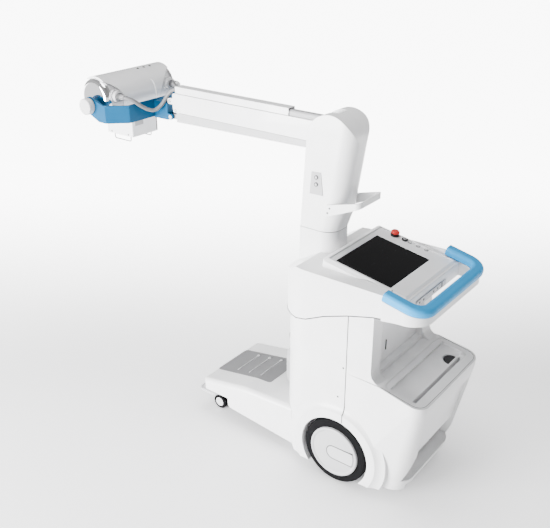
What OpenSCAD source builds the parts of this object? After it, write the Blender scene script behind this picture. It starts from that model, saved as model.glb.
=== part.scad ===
// Portable x-ray machine: wheeled base with a control desk, a swivelling mast,
// a pitching parallel arm and an x-ray tube in a yoke.
// Millimetres. +X runs forward to the tube head, +Y to the left, +Z up.
// Places are written from the rear axle (x = 0, floor z = 0) and moved to the
// middle of the overall length by place().

/* [Base and deck] */
// Half width of the front deck
deck_half_w = 230; // [200:1:250]
// Front edge of the deck ahead of the rear axle
deck_front_x = 836; // [820:1:860]
// Height of the deck top at its front edge
deck_front_z = 190; // [186:1:198]
// Height of the deck top where it meets the cabinet
deck_rear_z = 250; // [246:1:256]
// Where the deck top turns from its steep to its shallow slope
deck_crest_x = 560; // [520:1:600]
// Height of the deck top at that crest
deck_crest_z = 240; // [234:1:244]
// Rounding of the deck's long top edges
deck_edge_r = 26; // [12:1:34]
// Half width of the grey mat
mat_half_w = 117; // [90:1:150]
// Thickness of the mat above the deck
mat_t = 4; // [2:0.5:6]
// Height of the bumper plate's lower face
bumper_z = 126; // [122:1:132]
// Thickness of the bumper plate
bumper_t = 12; // [8:1:14]
// How far the bumper plate stands out past the deck
bumper_out = 13; // [6:1:20]

/* [Cabinet] */
// Half width of the cabinet
cab_half_w = 262; // [252:1:268]
// Front of the cabinet
cab_front_x = 350; // [340:1:360]
// Radius of the cabinet's front corners
cab_corner_r = 185; // [120:1:200]
// Height of the cabinet's lower edge
skirt_z = 50; // [40:1:60]
// Place of the seam between the two cabinet halves
seam_x = -37; // [-45:1:-30]
// Width of the panel gaps
panel_gap = 2; // [1:0.5:3]
// Rear wall of the upper cabinet
rear_wall_x = -156; // [-165:1:-150]
// How far the film bin stands out past the cabinet's sides
bin_out = 15; // [8:1:22]
// Rear edge of the bin's top
bin_rear_x = -410; // [-420:1:-400]
// Height of the bin's top at its rear edge
bin_rear_z = 546; // [538:1:554]
// Slope of the bin's top in degrees
bin_slope = 10.4; // [8:0.1:13]
// Width of the detector slot
slot_w = 20; // [18:1:24]
// Depth of the detector slot
slot_depth = 290; // [240:5:300]
// Depth of the recess under the desk
recess_depth = 30; // [15:1:40]
// Depth of the recess in the rear panel
rear_recess_depth = 14; // [6:1:20]
// Outer radius of the fender ring
fender_r = 213; // [208:1:218]
// How far the fender ring stands out of the cabinet side
fender_out = 18; // [10:1:22]

/* [Wheels] */
// Radius of the rear tyres
rear_wheel_r = 160; // [155:1:162]
// Width of the rear tyres
rear_tyre_w = 54; // [44:1:56]
// Outer face of the rear tyres, from the middle
rear_tyre_y = 273; // [270:1:275]
// Radius of the hub cap
hub_r = 122; // [110:1:128]
// Gap between a rear tyre and its arch
arch_gap = 13; // [10:1:16]
// Radius of the axle's stubs
axle_r = 15; // [12:0.5:18]
// Radius of the caster wheels
caster_r = 38; // [34:1:42]
// Place of the caster's swivel axis, ahead of the rear axle
caster_x = 792; // [785:1:798]
// Distance of the casters from the middle
caster_y = 145; // [135:1:155]
// Trail of a caster's wheels behind its swivel axis
caster_trail = 18; // [12:1:22]
// Radius of the caster's stem
caster_stem_r = 10; // [8:0.5:12]

/* [Desk] */
// How far the shoulder shell stands out past the cabinet's sides
shoulder_out = 13; // [8:1:18]
// Height of the shoulder's side walls
shoulder_top_z = 1012; // [1004:1:1020]
// How far the push handle stands out past the shoulder's sides
handle_out = 22; // [16:1:28]
// Rear edge of the push handle
handle_rear_x = -391; // [-398:1:-384]
// Width of the handle's bar seen from above
handle_bar_w = 52; // [44:1:58]
// Slope of the push handle in degrees
handle_slope = 12.5; // [8:0.5:15]
// Slope of the desk in degrees
desk_slope = 9.9; // [6:0.1:14]
// Width of the screen's glass
screen_w = 338; // [300:1:350]
// Depth of the screen's glass
screen_d = 270; // [240:1:280]
// Width of the desk's left margin
desk_left_margin = 34; // [26:1:40]
// Width of the desk's right margin with its controls
desk_right_margin = 98; // [88:1:102]
// Radius of the emergency stop's red cap
stop_r = 20; // [16:1:22]

/* [Mast] */
// Front of the lower column
column_front_x = 340; // [332:1:345]
// Rear of the lower column
column_rear_x = 171; // [165:1:178]
// Half width of the column and of the mast's shells
mast_half_w = 85; // [80:1:90]
// Rounding of the mast's rear corners
mast_rear_r = 66; // [50:1:75]
// Height of the swivel seam
swivel_z = 1108; // [1100:1:1116]
// Radius of the swivel post
post_r = 40; // [30:1:46]
// Height of the mast head's round top above the pivot
head_round_r = 111; // [105:1:116]
// Middle of the mast head's round top
head_round_z = 1512; // [1505:1:1520]
// Half width of the slot that the arm moves in
arm_slot_half_w = 34; // [33:0.5:40]

/* [Arm] */
// Place of the arm's pivot
arm_x = 203; // [198:1:208]
// Height of the arm's pivot
arm_z = 1526; // [1520:1:1532]
// Distance between the pivots of the arm
arm_len = 957; // [900:1:980]
// Drop from the arm's pivots to the link's pivots
link_drop = 78; // [74:1:84]
// Half width of the arm's beam
beam_half_w = 28; // [26:0.5:29]
// Top of the beam above its pivots
beam_up = 42; // [40:1:46]
// Lower edge of the beam under its pivots
beam_down = 49; // [44:1:52]
// Wall of the beam's channel
beam_wall = 3; // [2.5:0.5:4]
// Half width of the cable cover on the beam
cover_half_w = 24; // [20:1:26]
// Height of the cable cover
cover_h = 33; // [28:1:38]
// Half width of the lower link
link_half_w = 20; // [16:1:21]
// Radius of the arm's pivot pin
arm_pin_r = 12; // [9:0.5:14]
// Radius of the link's pivot pin
link_pin_r = 10; // [8:0.5:11]
// Radius of the pins at the head end
head_pin_r = 8; // [6:0.5:9]

/* [Tube head] */
// Distance from the arm's end pivots forward to the tube's axis
tube_reach = 296; // [288:1:306]
// Height of the tube's axis above the arm's pivots
tube_up = 12; // [6:1:18]
// Radius of the tube's hood
hood_r = 100; // [96:1:106]
// Half length of the hood at its top
hood_half_l = 216; // [205:1:225]
// Radius of the tube's end caps
cap_r = 91; // [86:1:94]
// Half length of the tube over its end caps
tube_half_l = 233; // [225:1:238]
// Drop of the trunnion under the tube's axis
trunnion_drop = 32; // [25:1:36]
// Radius of the trunnion pins
trunnion_r = 10; // [8:0.5:12]
// Distance from the arm's end pivots forward to the yoke's bar
yoke_ahead = 108; // [102:1:114]
// Outer half width of the yoke
yoke_half_w = 262; // [256:1:268]
// Thickness of the yoke's bar
yoke_t = 10; // [8:0.5:11]
// Drop of the yoke's lower edge under the tube's axis
yoke_drop = 103; // [98:1:108]
// Height of the yoke's bar
yoke_h = 84; // [76:1:90]
// Radius of the yoke's knobs
knob_r = 39; // [34:1:42]
// Thickness of the knobs
knob_t = 34; // [26:1:38]
// Length of the collimator box
coll_l = 187; // [170:1:195]
// Width of the collimator box
coll_w = 178; // [160:1:190]
// Drop of the collimator's lower face under the tube's axis
coll_drop = 213; // [206:1:220]
// Height of the collimator box
coll_h = 108; // [96:1:112]
// Drop of the wire rails under the collimator
rail_drop = 30; // [24:1:36]
// Thickness of the wire rails
rail_d = 5; // [4:0.5:7]
// Radius of the high voltage cables
hv_r = 9; // [7:0.5:11]
// Radius of the thin control lead
lead_r = 3.5; // [2.5:0.5:5]

/* [Hidden] */
$fn = 72;
eps = 0.01;
// Free gap around a pin that turns in its bore
run_fit = 0.05;
// Gap between curved faces that only lie beside each other
near_fit = 0.3;
// Gap between bodies that move past each other
move_gap = 5;

head_x = arm_x + arm_len;
tube_x = head_x + tube_reach;
tube_z = arm_z + tube_up;
front_reach_x = tube_x + hood_r;
mid_x = (front_reach_x + bin_rear_x) / 2;

axle_z = rear_wheel_r;
arch_r = rear_wheel_r + arch_gap;
arch_y = rear_tyre_y - rear_tyre_w - 12;
fender_y = cab_half_w + fender_out;
hub_hole_r = axle_r + run_fit;

// The deck's top: a shallow slope behind the crest and a steep one in front
front_pitch = atan((deck_crest_z - deck_front_z) / (deck_front_x - deck_crest_x));
rear_pitch = atan((deck_rear_z - deck_crest_z) / (deck_crest_x - cab_front_x));
function deck_top(x) = deck_crest_z - (x - deck_crest_x) * tan(x > deck_crest_x ? front_pitch : rear_pitch);
mat_rear_x = 484;
mat_front_x = deck_front_x - 10;

// The frame under the machine
rail_y0 = 90;
rail_y1 = 130;
frame_z0 = 132;
frame_z1 = 184;
axle_seat_r = axle_r + 3;
frame_rear_x = -270;
frame_front_x = caster_x + 34;
deck_wall = 26;
cross_w = 40;
bumper_x = 734;
cavity_half_w = 170;
cavity_top_z = 470;
cavity_rear_x = frame_rear_x - 10;
cavity_front_x = 300;
pack_x = -110;
pack_len = cavity_front_x - 60 - pack_x;
cross_z0 = bumper_z + bumper_t;
cross_z1 = cross_z0 + 34;

// The seam under the shoulder shell: [x, z] from the front to the rear
shoulder_half_w = cab_half_w + shoulder_out;
handle_half_w = shoulder_half_w + handle_out;
seam_front_z = 766;
seam_knee_x = 200;
seam_pts = [[seam_knee_x, seam_front_z], [80, 824], [seam_x, 866], [rear_wall_x, 899], [-265, 915],
    [handle_rear_x, 922]];

// The bin's top plane
function bin_z(x) = bin_rear_z + (x - bin_rear_x) * tan(bin_slope);
bin_half_w = cab_half_w + bin_out;
bin_front_x = rear_wall_x - 49;
bin_corner_r = 58;
bin_rim = 12;
slot_x = bin_rear_x + 63;
slot_half_l = bin_half_w - 39;
recess_half_w = cab_half_w - 76;
recess_h = 262;
cove_r = 48;
skirt_rear_x = -326;
skirt_rear_half_w = 232;
skirt_corner_r = 86;
rear_lean = atan((skirt_rear_x - bin_rear_x) / (bin_rear_z - skirt_z));

// The desk: its plane passes the middle of the screen
desk_x = -38;
desk_z = 1018;
desk_front = 185;
desk_rear = 232;
desk_t = 78;
desk_lip = 5;
desk_bevel = 20;
desk_left_y = screen_w / 2 + desk_left_margin;
desk_right_y = -screen_w / 2 - desk_right_margin;
controls_y = -screen_w / 2 - 62;
// Window in the collimator's rear face: its corner from the middle and the bottom, and its size
window_y = 12;
window_z = 54;
window_w = 56;
window_h = 24;
// Places of the stop button and the key switch along the desk
stop_u = 80;
key_u = 27;

// The push handle: its plane passes this rear point
handle_z = 953;
handle_top_t = 40;
grip_edge_r = 15;
handle_corner_r = 92;
grip_front_x = -200;

link_z = arm_z - link_drop;
trunnion_z = tube_z - trunnion_drop;
coll_z = tube_z - coll_drop;
flange_r = 70;
cap_y = hood_half_l - 16;
yoke_rear_x = head_x + yoke_ahead;
yoke_z = tube_z - yoke_drop;
yoke_bend_x = yoke_rear_x + 84;
yoke_bend_y = yoke_half_w - 77;
boot_reach = 150;
mast_mid_x = column_rear_x + mast_half_w + 3;
arm_slot_z = arm_z - 290;
arm_slot_rear_x = arm_x - 55;

// The mast leans back: a steep line up to the knee and a tangent to the round top above it
mast_knee_z = swivel_z + 92;
mast_low_lean = 19.6;
mast_knee_x = column_rear_x - (mast_knee_z - swivel_z) * tan(mast_low_lean);
knee_dx = arm_x - mast_knee_x;
knee_dz = head_round_z - mast_knee_z;
mast_top_lean = asin(head_round_r / norm([knee_dx, knee_dz])) - atan(knee_dx / knee_dz);
column_z0 = 700;
socket_y = 176;
socket_z = tube_z + 12;

white = [0.93, 0.93, 0.94];
light_grey = [0.78, 0.78, 0.80];
mat_grey = [0.58, 0.58, 0.59];
sky_blue = [0.36, 0.69, 0.86];
steel_grey = [0.62, 0.63, 0.65];
black = [0.10, 0.10, 0.11];

// Moves the model from the rear axle to the middle of its length
module place() {
    translate([-mid_x, 0, 0]) children();
}

// Extrudes an outline in X and Z to a plate of width w, centred on y = 0
module across(w) {
    rotate([90, 0, 0]) translate([0, 0, -w / 2]) linear_extrude(w) children();
}

// Extrudes an outline in X and Y between two heights
module upright(z0, z1) {
    translate([0, 0, z0]) linear_extrude(z1 - z0) children();
}

// A cylinder along Y between two places
module pin_y(x, z, r, y0, y1) {
    translate([x, y0, z]) rotate([-90, 0, 0]) cylinder(r = r, h = y1 - y0);
}

// Mirrors its children to the right side as well
module both_sides() {
    children();
    mirror([0, 1, 0]) children();
}

// A rectangle in X and Y with all four corners rounded
module round_rect(x0, x1, y0, y1, r) {
    translate([x0 + r, y0]) square([x1 - x0 - 2 * r, y1 - y0]);
    translate([x0, y0 + r]) square([x1 - x0, y1 - y0 - 2 * r]);
    for (x = [x0 + r, x1 - r], y = [y0 + r, y1 - r]) translate([x, y]) circle(r);
}

// Plan of the cabinet and of the shoulder, with round front corners
module front_plan(half_w, front_x, r, rear_x) {
    translate([rear_x, -half_w]) square([front_x - r - rear_x, 2 * half_w]);
    translate([front_x - r - eps, -half_w + r]) square([r + eps, 2 * (half_w - r)]);
    for (s = [-1, 1]) translate([front_x - r, s * (half_w - r)]) circle(r);
}

// Plan of the column: flat sides, round rear corners
module column_plan(grow = 0) {
    w = mast_half_w + grow;
    r = mast_rear_r + grow;
    x0 = column_rear_x - grow;
    x1 = column_front_x + grow;
    translate([x0 + r, -w]) square([x1 - x0 - r, 2 * w]);
    translate([x0, -w + r]) square([r + 1, 2 * (w - r)]);
    for (s = [-1, 1]) translate([x0 + r, s * (w - r)]) circle(r);
}

// Steel frame that carries the cabinet, the deck, the axle and the casters
module chassis_frame() {
    color(steel_grey) place() difference() {
        union() {
            both_sides() translate([frame_rear_x, rail_y0, frame_z0])
                cube([frame_front_x - frame_rear_x, rail_y1 - rail_y0, frame_z1 - frame_z0]);
            for (x = [frame_rear_x, cavity_front_x - cross_w - 20])
                translate([x, -cavity_half_w, frame_z0 + 8])
                    cube([cross_w, 2 * cavity_half_w, frame_z1 - frame_z0 - 16]);
            translate([560, -rail_y1, frame_z0 + 8]) cube([cross_w, 2 * rail_y1, frame_z1 - frame_z0 - 16]);
            translate([caster_x - 34, -caster_y - 45, cross_z0 - 2])
                cube([66, 2 * (caster_y + 45), cross_z1 - cross_z0 + 2]);
        }
        translate([bumper_x - 1, -caster_y - 46, 0]) cube([120, 2 * (caster_y + 46), cross_z0]);
        both_sides() translate([caster_x, caster_y, 0])
            cylinder(r = caster_stem_r + run_fit, h = cross_z1 - 8);
        pin_y(0, axle_z, axle_seat_r, -rail_y1 - 1, rail_y1 + 1);
    }
}

// Fixed axle with a shoulder and a stub for each rear wheel
module rear_axle() {
    color(steel_grey) place() {
        pin_y(0, axle_z, axle_seat_r, -arch_y + 2, arch_y - 2);
        pin_y(0, axle_z, axle_r, -rear_tyre_y + 14, rear_tyre_y - 14);
    }
}

// Batteries and high voltage generator as one plain block
module power_pack() {
    color(black) place() translate([pack_x, -rail_y1 - 20, frame_z1])
        cube([pack_len, 2 * (rail_y1 + 20), cavity_top_z - frame_z1 - 6]);
}

// Side outline of the deck, open upward: skirt, caster arch and round nose
module deck_outline() {
    nose_r = 22;
    arch_x = 664;
    skirt_front_z = 88;
    nose_z = deck_top(deck_front_x - nose_r) - (nose_r - 0.6) / cos(front_pitch);
    open_z = deck_rear_z + 60;
    polygon([[150, skirt_z], [260, skirt_z], [arch_x - 12, skirt_front_z], [arch_x, skirt_front_z + 14],
        [arch_x + 2, cross_z0], [deck_front_x, cross_z0], [deck_front_x, nose_z],
        [deck_front_x - nose_r, nose_z], [deck_front_x - nose_r, open_z], [150, open_z]]);
    translate([deck_front_x - nose_r, nose_z]) circle(nose_r);
}

// A long bar with round top edges, sloping through the deck's crest
module deck_bar(pitch, half_w) {
    r = deck_edge_r;
    translate([deck_crest_x, 0, deck_crest_z]) rotate([0, pitch, 0]) rotate([90, 0, 90])
        translate([0, 0, -450]) linear_extrude(800) {
            translate([-half_w, -400]) square([2 * half_w, 400 - r]);
            translate([-half_w + r, -r - 1]) square([2 * (half_w - r), r + 1]);
            for (s = [-1, 1]) translate([s * (half_w - r), -r]) circle(r);
        }
}

// Front deck with its skirts and caster arches
module deck() {
    color(white) place() difference() {
        intersection() {
            across(2 * deck_half_w + 40) deck_outline();
            upright(0, 400) round_rect(140, deck_front_x, -deck_half_w - 0.6, deck_half_w + 0.6, 42);
            deck_bar(rear_pitch, deck_half_w + 0.4);
            deck_bar(front_pitch, deck_half_w);
        }
        upright(-1, 600) front_plan(cab_half_w, cab_front_x, cab_corner_r, -300);
        translate([100, -deck_half_w + deck_wall, -1])
            cube([frame_front_x + 1 - 100, 2 * (deck_half_w - deck_wall), cross_z1 + 1]);
        translate([100, -rail_y1, -1]) cube([frame_front_x - 100, 2 * rail_y1, frame_z1 + 1]);
        deck_mat_form(40);
    }
}

// The mat follows both slopes of the deck's top
module deck_mat_form(rise) {
    intersection() {
        upright(100, 400) round_rect(mat_rear_x, mat_front_x, -mat_half_w, mat_half_w, 16);
        across(2 * mat_half_w + 20) polygon([for (x = [mat_rear_x - 1, deck_crest_x, mat_front_x + 1])
            [x, deck_top(x) - mat_t], for (x = [mat_front_x + 1, deck_crest_x, mat_rear_x - 1])
            [x, deck_top(x) + rise]]);
    }
}

module deck_mat() {
    color(mat_grey) place() deck_mat_form(1);
}

// Grey bumper plate under the deck's nose, pierced by the caster stems
module bumper_plate() {
    color(light_grey) place() difference() {
        upright(bumper_z, bumper_z + bumper_t)
            round_rect(bumper_x, deck_front_x + bumper_out, -deck_half_w - 10, deck_half_w + 10, 26);
        both_sides() translate([caster_x, caster_y, 0]) cylinder(r = 22, h = 400);
    }
}

// Outline of everything under the shoulder's seam, in X and Z
module under_seam(x0, x1) {
    intersection() {
        polygon(concat([[600, 0], [600, seam_front_z], [seam_knee_x, seam_front_z]], seam_pts,
            [[handle_rear_x, 0]]));
        translate([x0, 0]) square([x1 - x0, 1200]);
    }
}

// Space for the rear wheel on both sides, and for the frame and the power pack
module base_hollows() {
    both_sides() pin_y(0, axle_z, arch_r, arch_y, 400);
    translate([cavity_rear_x, -cavity_half_w, 0])
        cube([cavity_front_x - cavity_rear_x, 2 * cavity_half_w, cavity_top_z]);
    translate([cavity_rear_x, -rail_y1, 0]) cube([900, 2 * rail_y1, frame_z1]);
    pin_y(0, axle_z, axle_seat_r, -arch_y - 1, arch_y + 1);
}

// Fender ring around one rear wheel, with a cove down to the cabinet's side, cut off at the skirt
module fender(side) {
    cove = 65;
    cove_end = fender_r + 45;
    intersection() {
        translate([0, side * cab_half_w, axle_z]) rotate([-90 * side, 0, 0]) rotate_extrude() difference() {
            translate([arch_r, -40]) square([cove_end - 2 - arch_r, fender_out + 40]);
            translate([cove_end, cove - 0.3]) circle(cove);
        }
        translate([-400, -400, skirt_z]) cube([800, 800, 500]);
    }
}

// Front half of the cabinet
module cabinet_front() {
    color(white) place() difference() {
        union() {
            intersection() {
                across(800) under_seam(seam_x + panel_gap, 600);
                upright(skirt_z, 1000)
                    front_plan(cab_half_w, cab_front_x, cab_corner_r, seam_x + panel_gap);
            }
            intersection() {
                both_sides() fender(1);
                translate([seam_x + panel_gap, -400, 0]) cube([400, 800, 600]);
            }
        }
        base_hollows();
        upright(column_z0, 1000) column_plan(0);
    }
}

// One flat slice of the rear body's rounded plan, for the loft between top and skirt
module rear_slice(z, rear_x, half_w, r) {
    translate([0, 0, z]) linear_extrude(1) {
        for (s = [-1, 1]) {
            translate([rear_x + r, s * (half_w - r)]) circle(r, $fn = 48);
            translate([seam_x - 5, s * (cab_half_w - 5)]) square(10, center = true);
        }
    }
}

// Lower rear body: full at the bin, drawn in toward the skirt
module rear_body() {
    intersection() {
        hull() {
            rear_slice(bin_z(seam_x), bin_rear_x, bin_half_w, bin_corner_r);
            rear_slice(bin_rear_z - 30, bin_rear_x + 2, bin_half_w, bin_corner_r);
            rear_slice(skirt_z, skirt_rear_x, skirt_rear_half_w, skirt_corner_r);
        }
        across(800) polygon([[seam_x, 0], [seam_x, bin_z(bin_front_x)], [bin_front_x, bin_z(bin_front_x)],
            [bin_rear_x - 10, bin_z(bin_rear_x - 10)], [bin_rear_x - 10, 0]]);
    }
}

// Rear half of the cabinet with the film bin and the recess under the desk
module cabinet_rear() {
    color(white) place() difference() {
        union() {
            intersection() {
                across(800) under_seam(rear_wall_x, seam_x);
                upright(skirt_z, 1000)
                    translate([rear_wall_x, -cab_half_w]) square([seam_x - rear_wall_x, 2 * cab_half_w]);
            }
            rear_body();
            intersection() {
                across(2 * cab_half_w) difference() {
                    translate([rear_wall_x - cove_r, bin_z(bin_front_x) - 5])
                        square([cove_r + 1, cove_r + 5]);
                    translate([rear_wall_x - cove_r, bin_z(bin_front_x) + cove_r]) circle(cove_r);
                }
                both_sides() translate([-300, recess_half_w + 10, 0]) cube([300, 200, 1000]);
            }
            intersection() {
                both_sides() fender(1);
                translate([-400, -400, 0]) cube([400 + seam_x, 800, 600]);
            }
        }
        base_hollows();
        translate([rear_wall_x - 10, -recess_half_w, bin_z(bin_front_x) + 20])
            cube([recess_depth + 10, 2 * recess_half_w, recess_h]);
        bin_hollow();
        rear_panel_recess();
        translate([bin_rear_x, -recess_half_w, 0]) cube([-cavity_rear_x - skirt_rear_x, 2 * recess_half_w,
            skirt_z + 31]);
    }
}

// Moves children into the bin's sloping top plane, keeping X and Y from the rear axle
module on_bin(depth) {
    translate([bin_rear_x, 0, bin_rear_z]) rotate([0, -bin_slope, 0]) translate([-bin_rear_x, 0, -depth])
        children();
}

// Box that leans like the rear panel, its top centre at the detector slot's mouth
module slot_box(grow, depth, up) {
    translate([slot_x, 0, bin_rear_z]) rotate([0, -rear_lean, 0])
        translate([-slot_w / 2 - grow, -slot_half_l - grow, -depth])
            cube([slot_w + 2 * grow, 2 * (slot_half_l + grow), depth + up]);
}

// Hollow for the bin tray and its pocket
module bin_hollow() {
    on_bin(46) linear_extrude(100) round_rect(bin_rear_x + bin_rim, bin_front_x - 4, -bin_half_w + bin_rim,
        bin_half_w - bin_rim, bin_corner_r - bin_rim);
    slot_box(6, slot_depth, 0);
}

// Trapezoid recess and low opening in the rear panel
module rear_panel_recess() {
    translate([skirt_rear_x, 0, skirt_z]) rotate([0, -rear_lean, 0]) rotate([90, 0, 90]) {
        translate([0, 0, -20]) linear_extrude(20 + rear_recess_depth)
            polygon([[-212, 418], [212, 418], [180, 187], [-180, 187]]);
        translate([0, 0, -20]) linear_extrude(20 + 60)
            polygon([[-187, 193], [187, 193], [215, 56], [-215, 56]]);
    }
}

// Grey tray in the bin: sloping floor, leaning detector slot and a half round finger notch
module bin_tray() {
    notch_r = 40;
    floor_half_l = slot_half_l + 2;
    color(light_grey) place() difference() {
        union() {
            on_bin(46) linear_extrude(44) round_rect(bin_rear_x + bin_rim, bin_front_x - 4,
                -bin_half_w + bin_rim, bin_half_w - bin_rim, bin_corner_r - bin_rim);
            slot_box(6, slot_depth, -30);
        }
        slot_box(0, slot_depth - 6, 100);
        on_bin(14) translate([slot_x + 1, -floor_half_l, 0])
            cube([bin_front_x - 32 - slot_x, 2 * floor_half_l, 60]);
        intersection() {
            translate([slot_x + slot_w / 2 + 13, -160, bin_rear_z - 32]) cylinder(r = notch_r, h = 120);
            translate([slot_x + slot_w / 2 + 9, -160 - notch_r - 5, 0]) cube([100, 2 * notch_r + 10, 1000]);
        }
    }
}

// Plan of the shoulder shell with the two arms of the push handle
module shoulder_plan() {
    difference() {
        union() {
            front_plan(shoulder_half_w, cab_front_x + 6, cab_corner_r, -260);
            handle_plan(8);
            translate([-270, -shoulder_half_w]) square([40, 2 * shoulder_half_w]);
        }
        round_rect(handle_rear_x + handle_bar_w - 8, desk_rear_x() - 6, -handle_half_w + handle_bar_w + 2,
            handle_half_w - handle_bar_w - 2, 34);
    }
}

function desk_rear_x() = desk_x - desk_rear * cos(desk_slope);

// The U of the push handle seen from above
module handle_plan(inset) {
    difference() {
        union() {
            translate([handle_rear_x + handle_corner_r, -handle_half_w + inset])
                square([grip_front_x - handle_rear_x - handle_corner_r, 2 * (handle_half_w - inset)]);
            translate([handle_rear_x + inset, -handle_half_w + handle_corner_r])
                square([handle_corner_r, 2 * (handle_half_w - handle_corner_r)]);
            for (s = [-1, 1])
                translate([handle_rear_x + handle_corner_r, s * (handle_half_w - handle_corner_r)])
                    circle(handle_corner_r - inset);
        }
        round_rect(handle_rear_x + handle_bar_w - inset, grip_front_x + 60,
            -handle_half_w + handle_bar_w - inset, handle_half_w - handle_bar_w + inset,
            handle_corner_r - handle_bar_w + inset);
    }
}

// Lower face of the push handle's blue cover, as a plane through its rear edge
function handle_low_z(x) = handle_z + (x - handle_rear_x) * tan(handle_slope);

// White shell that carries the desk and reaches back as the handle's arms
module shoulder() {
    color(white) place() difference() {
        intersection() {
            across(800) polygon(concat([[600, seam_front_z + panel_gap]],
                [for (p = seam_pts) [p[0], p[1] + panel_gap]],
                [[handle_rear_x - 5, 922 + panel_gap], [handle_rear_x - 5, handle_low_z(handle_rear_x - 5)],
                [grip_front_x, handle_low_z(grip_front_x)], [grip_front_x, shoulder_top_z],
                [cab_front_x - 120, shoulder_top_z], [cab_front_x + 20, 930], [cab_front_x + 250, 930]]));
            upright(600, 1200) shoulder_plan();
        }
        upright(column_z0, 1200) column_plan(0);
        desk_form(0.5, desk_t);
        on_desk() linear_extrude(150) desk_outline(0.5);
    }
}

// Rounded section of the grip, from its outer side inward
module grip_section() {
    round_rect(0, handle_bar_w, 0, handle_top_t, grip_edge_r);
}

// Sky blue grip on the push handle: two side bars, a rear bar and two corners in one sloping plane
module push_handle() {
    r = handle_corner_r;
    side_len = (grip_front_x - handle_rear_x) / cos(handle_slope) - r;
    color(sky_blue) place() translate([handle_rear_x, 0, handle_z]) rotate([0, -handle_slope, 0]) {
        both_sides() translate([r, 0, 0]) rotate([90, 0, 90]) linear_extrude(side_len)
            translate([handle_half_w, 0]) mirror([1, 0]) grip_section();
        translate([0, handle_half_w - r, 0]) rotate([90, 0, 0]) linear_extrude(2 * (handle_half_w - r))
            grip_section();
        both_sides() translate([r, handle_half_w - r, 0]) rotate([0, 0, 90]) rotate_extrude(angle = 90)
            translate([r, 0]) mirror([1, 0]) grip_section();
    }
}

// Moves children into the desk's sloping plane, screen centre at the origin
module on_desk() {
    translate([desk_x, 0, desk_z]) rotate([0, -desk_slope, 0]) children();
}

module desk_outline(grow) {
    round_rect(-desk_rear - grow, desk_front + grow, desk_right_y - grow, desk_left_y + grow, 24);
}

// Housing block with bevelled top edges, from depth z0 under the screen's plane
module desk_form(grow, z0) {
    h = z0 + desk_lip;
    b = desk_bevel;
    on_desk() translate([0, 0, -z0]) intersection() {
        linear_extrude(h) desk_outline(grow);
        across(900) polygon([[-desk_rear - 5, 0], [desk_front + 5, 0], [desk_front + 5, h - b / 2 - 2.5],
            [desk_front - b, h], [-desk_rear + b, h], [-desk_rear - 5, h - b / 2 - 2.5]]);
        rotate([90, 0, 90]) translate([0, 0, -500]) linear_extrude(1000)
            polygon([[desk_right_y - 5, 0], [desk_left_y + 5, 0], [desk_left_y + 5, h - b / 2 - 2.5],
                [desk_left_y - b, h], [desk_right_y + b, h], [desk_right_y - 5, h - b / 2 - 2.5]]);
    }
}

// Desk housing around the screen
module desk() {
    rim = desk_bevel + 3;
    color(light_grey) place() difference() {
        desk_form(0, desk_t);
        on_desk() {
            linear_extrude(desk_lip + 1) round_rect(-desk_rear + rim, desk_front - rim, desk_right_y + rim,
                desk_left_y - rim, 8);
            translate([-screen_d / 2, -screen_w / 2, -6]) cube([screen_d, screen_w, 30]);
            translate([stop_u, controls_y, -20]) cylinder(r = stop_r - 4, h = 40);
            translate([stop_u, controls_y, 0]) cylinder(r = stop_r, h = 40);
            translate([key_u, controls_y, -20]) cylinder(r = 12, h = 40);
            translate([key_u, controls_y, 0]) cylinder(r = 15, h = 40);
            for (k = [0:2]) translate([-42 * k, controls_y, -4]) cylinder(r = 7, h = 20);
            translate([-desk_rear - 1, -150, -60]) cube([5, 300, 38]);
        }
        upright(column_z0, 1300) column_plan(6);
    }
}

module screen() {
    color(black) place() on_desk() translate([-screen_d / 2, -screen_w / 2, -6])
        cube([screen_d, screen_w, 5]);
}

module stop_collar() {
    color(black) place() on_desk() translate([stop_u, controls_y, -20]) {
        cylinder(r = stop_r - 4, h = 26);
        translate([0, 0, 20]) cylinder(r = stop_r - 1, h = 9);
    }
}

module stop_button() {
    color("red") place() on_desk() translate([stop_u, controls_y, 9]) {
        cylinder(r = stop_r - 8, h = 6);
        translate([0, 0, 6]) cylinder(r = stop_r, h = 6);
        translate([0, 0, 12]) cylinder(r1 = stop_r, r2 = stop_r - 5, h = 5);
    }
}

module key_switch() {
    color("silver") place() on_desk() translate([key_u, controls_y, -20]) {
        cylinder(r = 12, h = 21);
        translate([0, 0, 20]) cylinder(r = 14, h = 8);
    }
}

module desk_lamps() {
    color(light_grey) place() on_desk()
        for (k = [0:2]) translate([-42 * k, controls_y, -4]) cylinder(r = 7, h = 6);
}

// Plate with sockets in the desk's rear face
module port_panel() {
    color(steel_grey) place() on_desk() difference() {
        translate([-desk_rear, -150, -60]) cube([4, 300, 38]);
        for (k = [0:4]) translate([-desk_rear - 1, 110 - 32 * k, -44]) cube([3, 14, 10]);
        translate([-desk_rear - 1, -110, -56]) cube([3, 10, 30]);
    }
}

// Lower column with the swivel post
module column() {
    color(white) place() {
        upright(column_z0, swivel_z) column_plan(0);
        translate([mast_mid_x, 0, swivel_z - 1]) cylinder(r = post_r, h = 72);
    }
}

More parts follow.
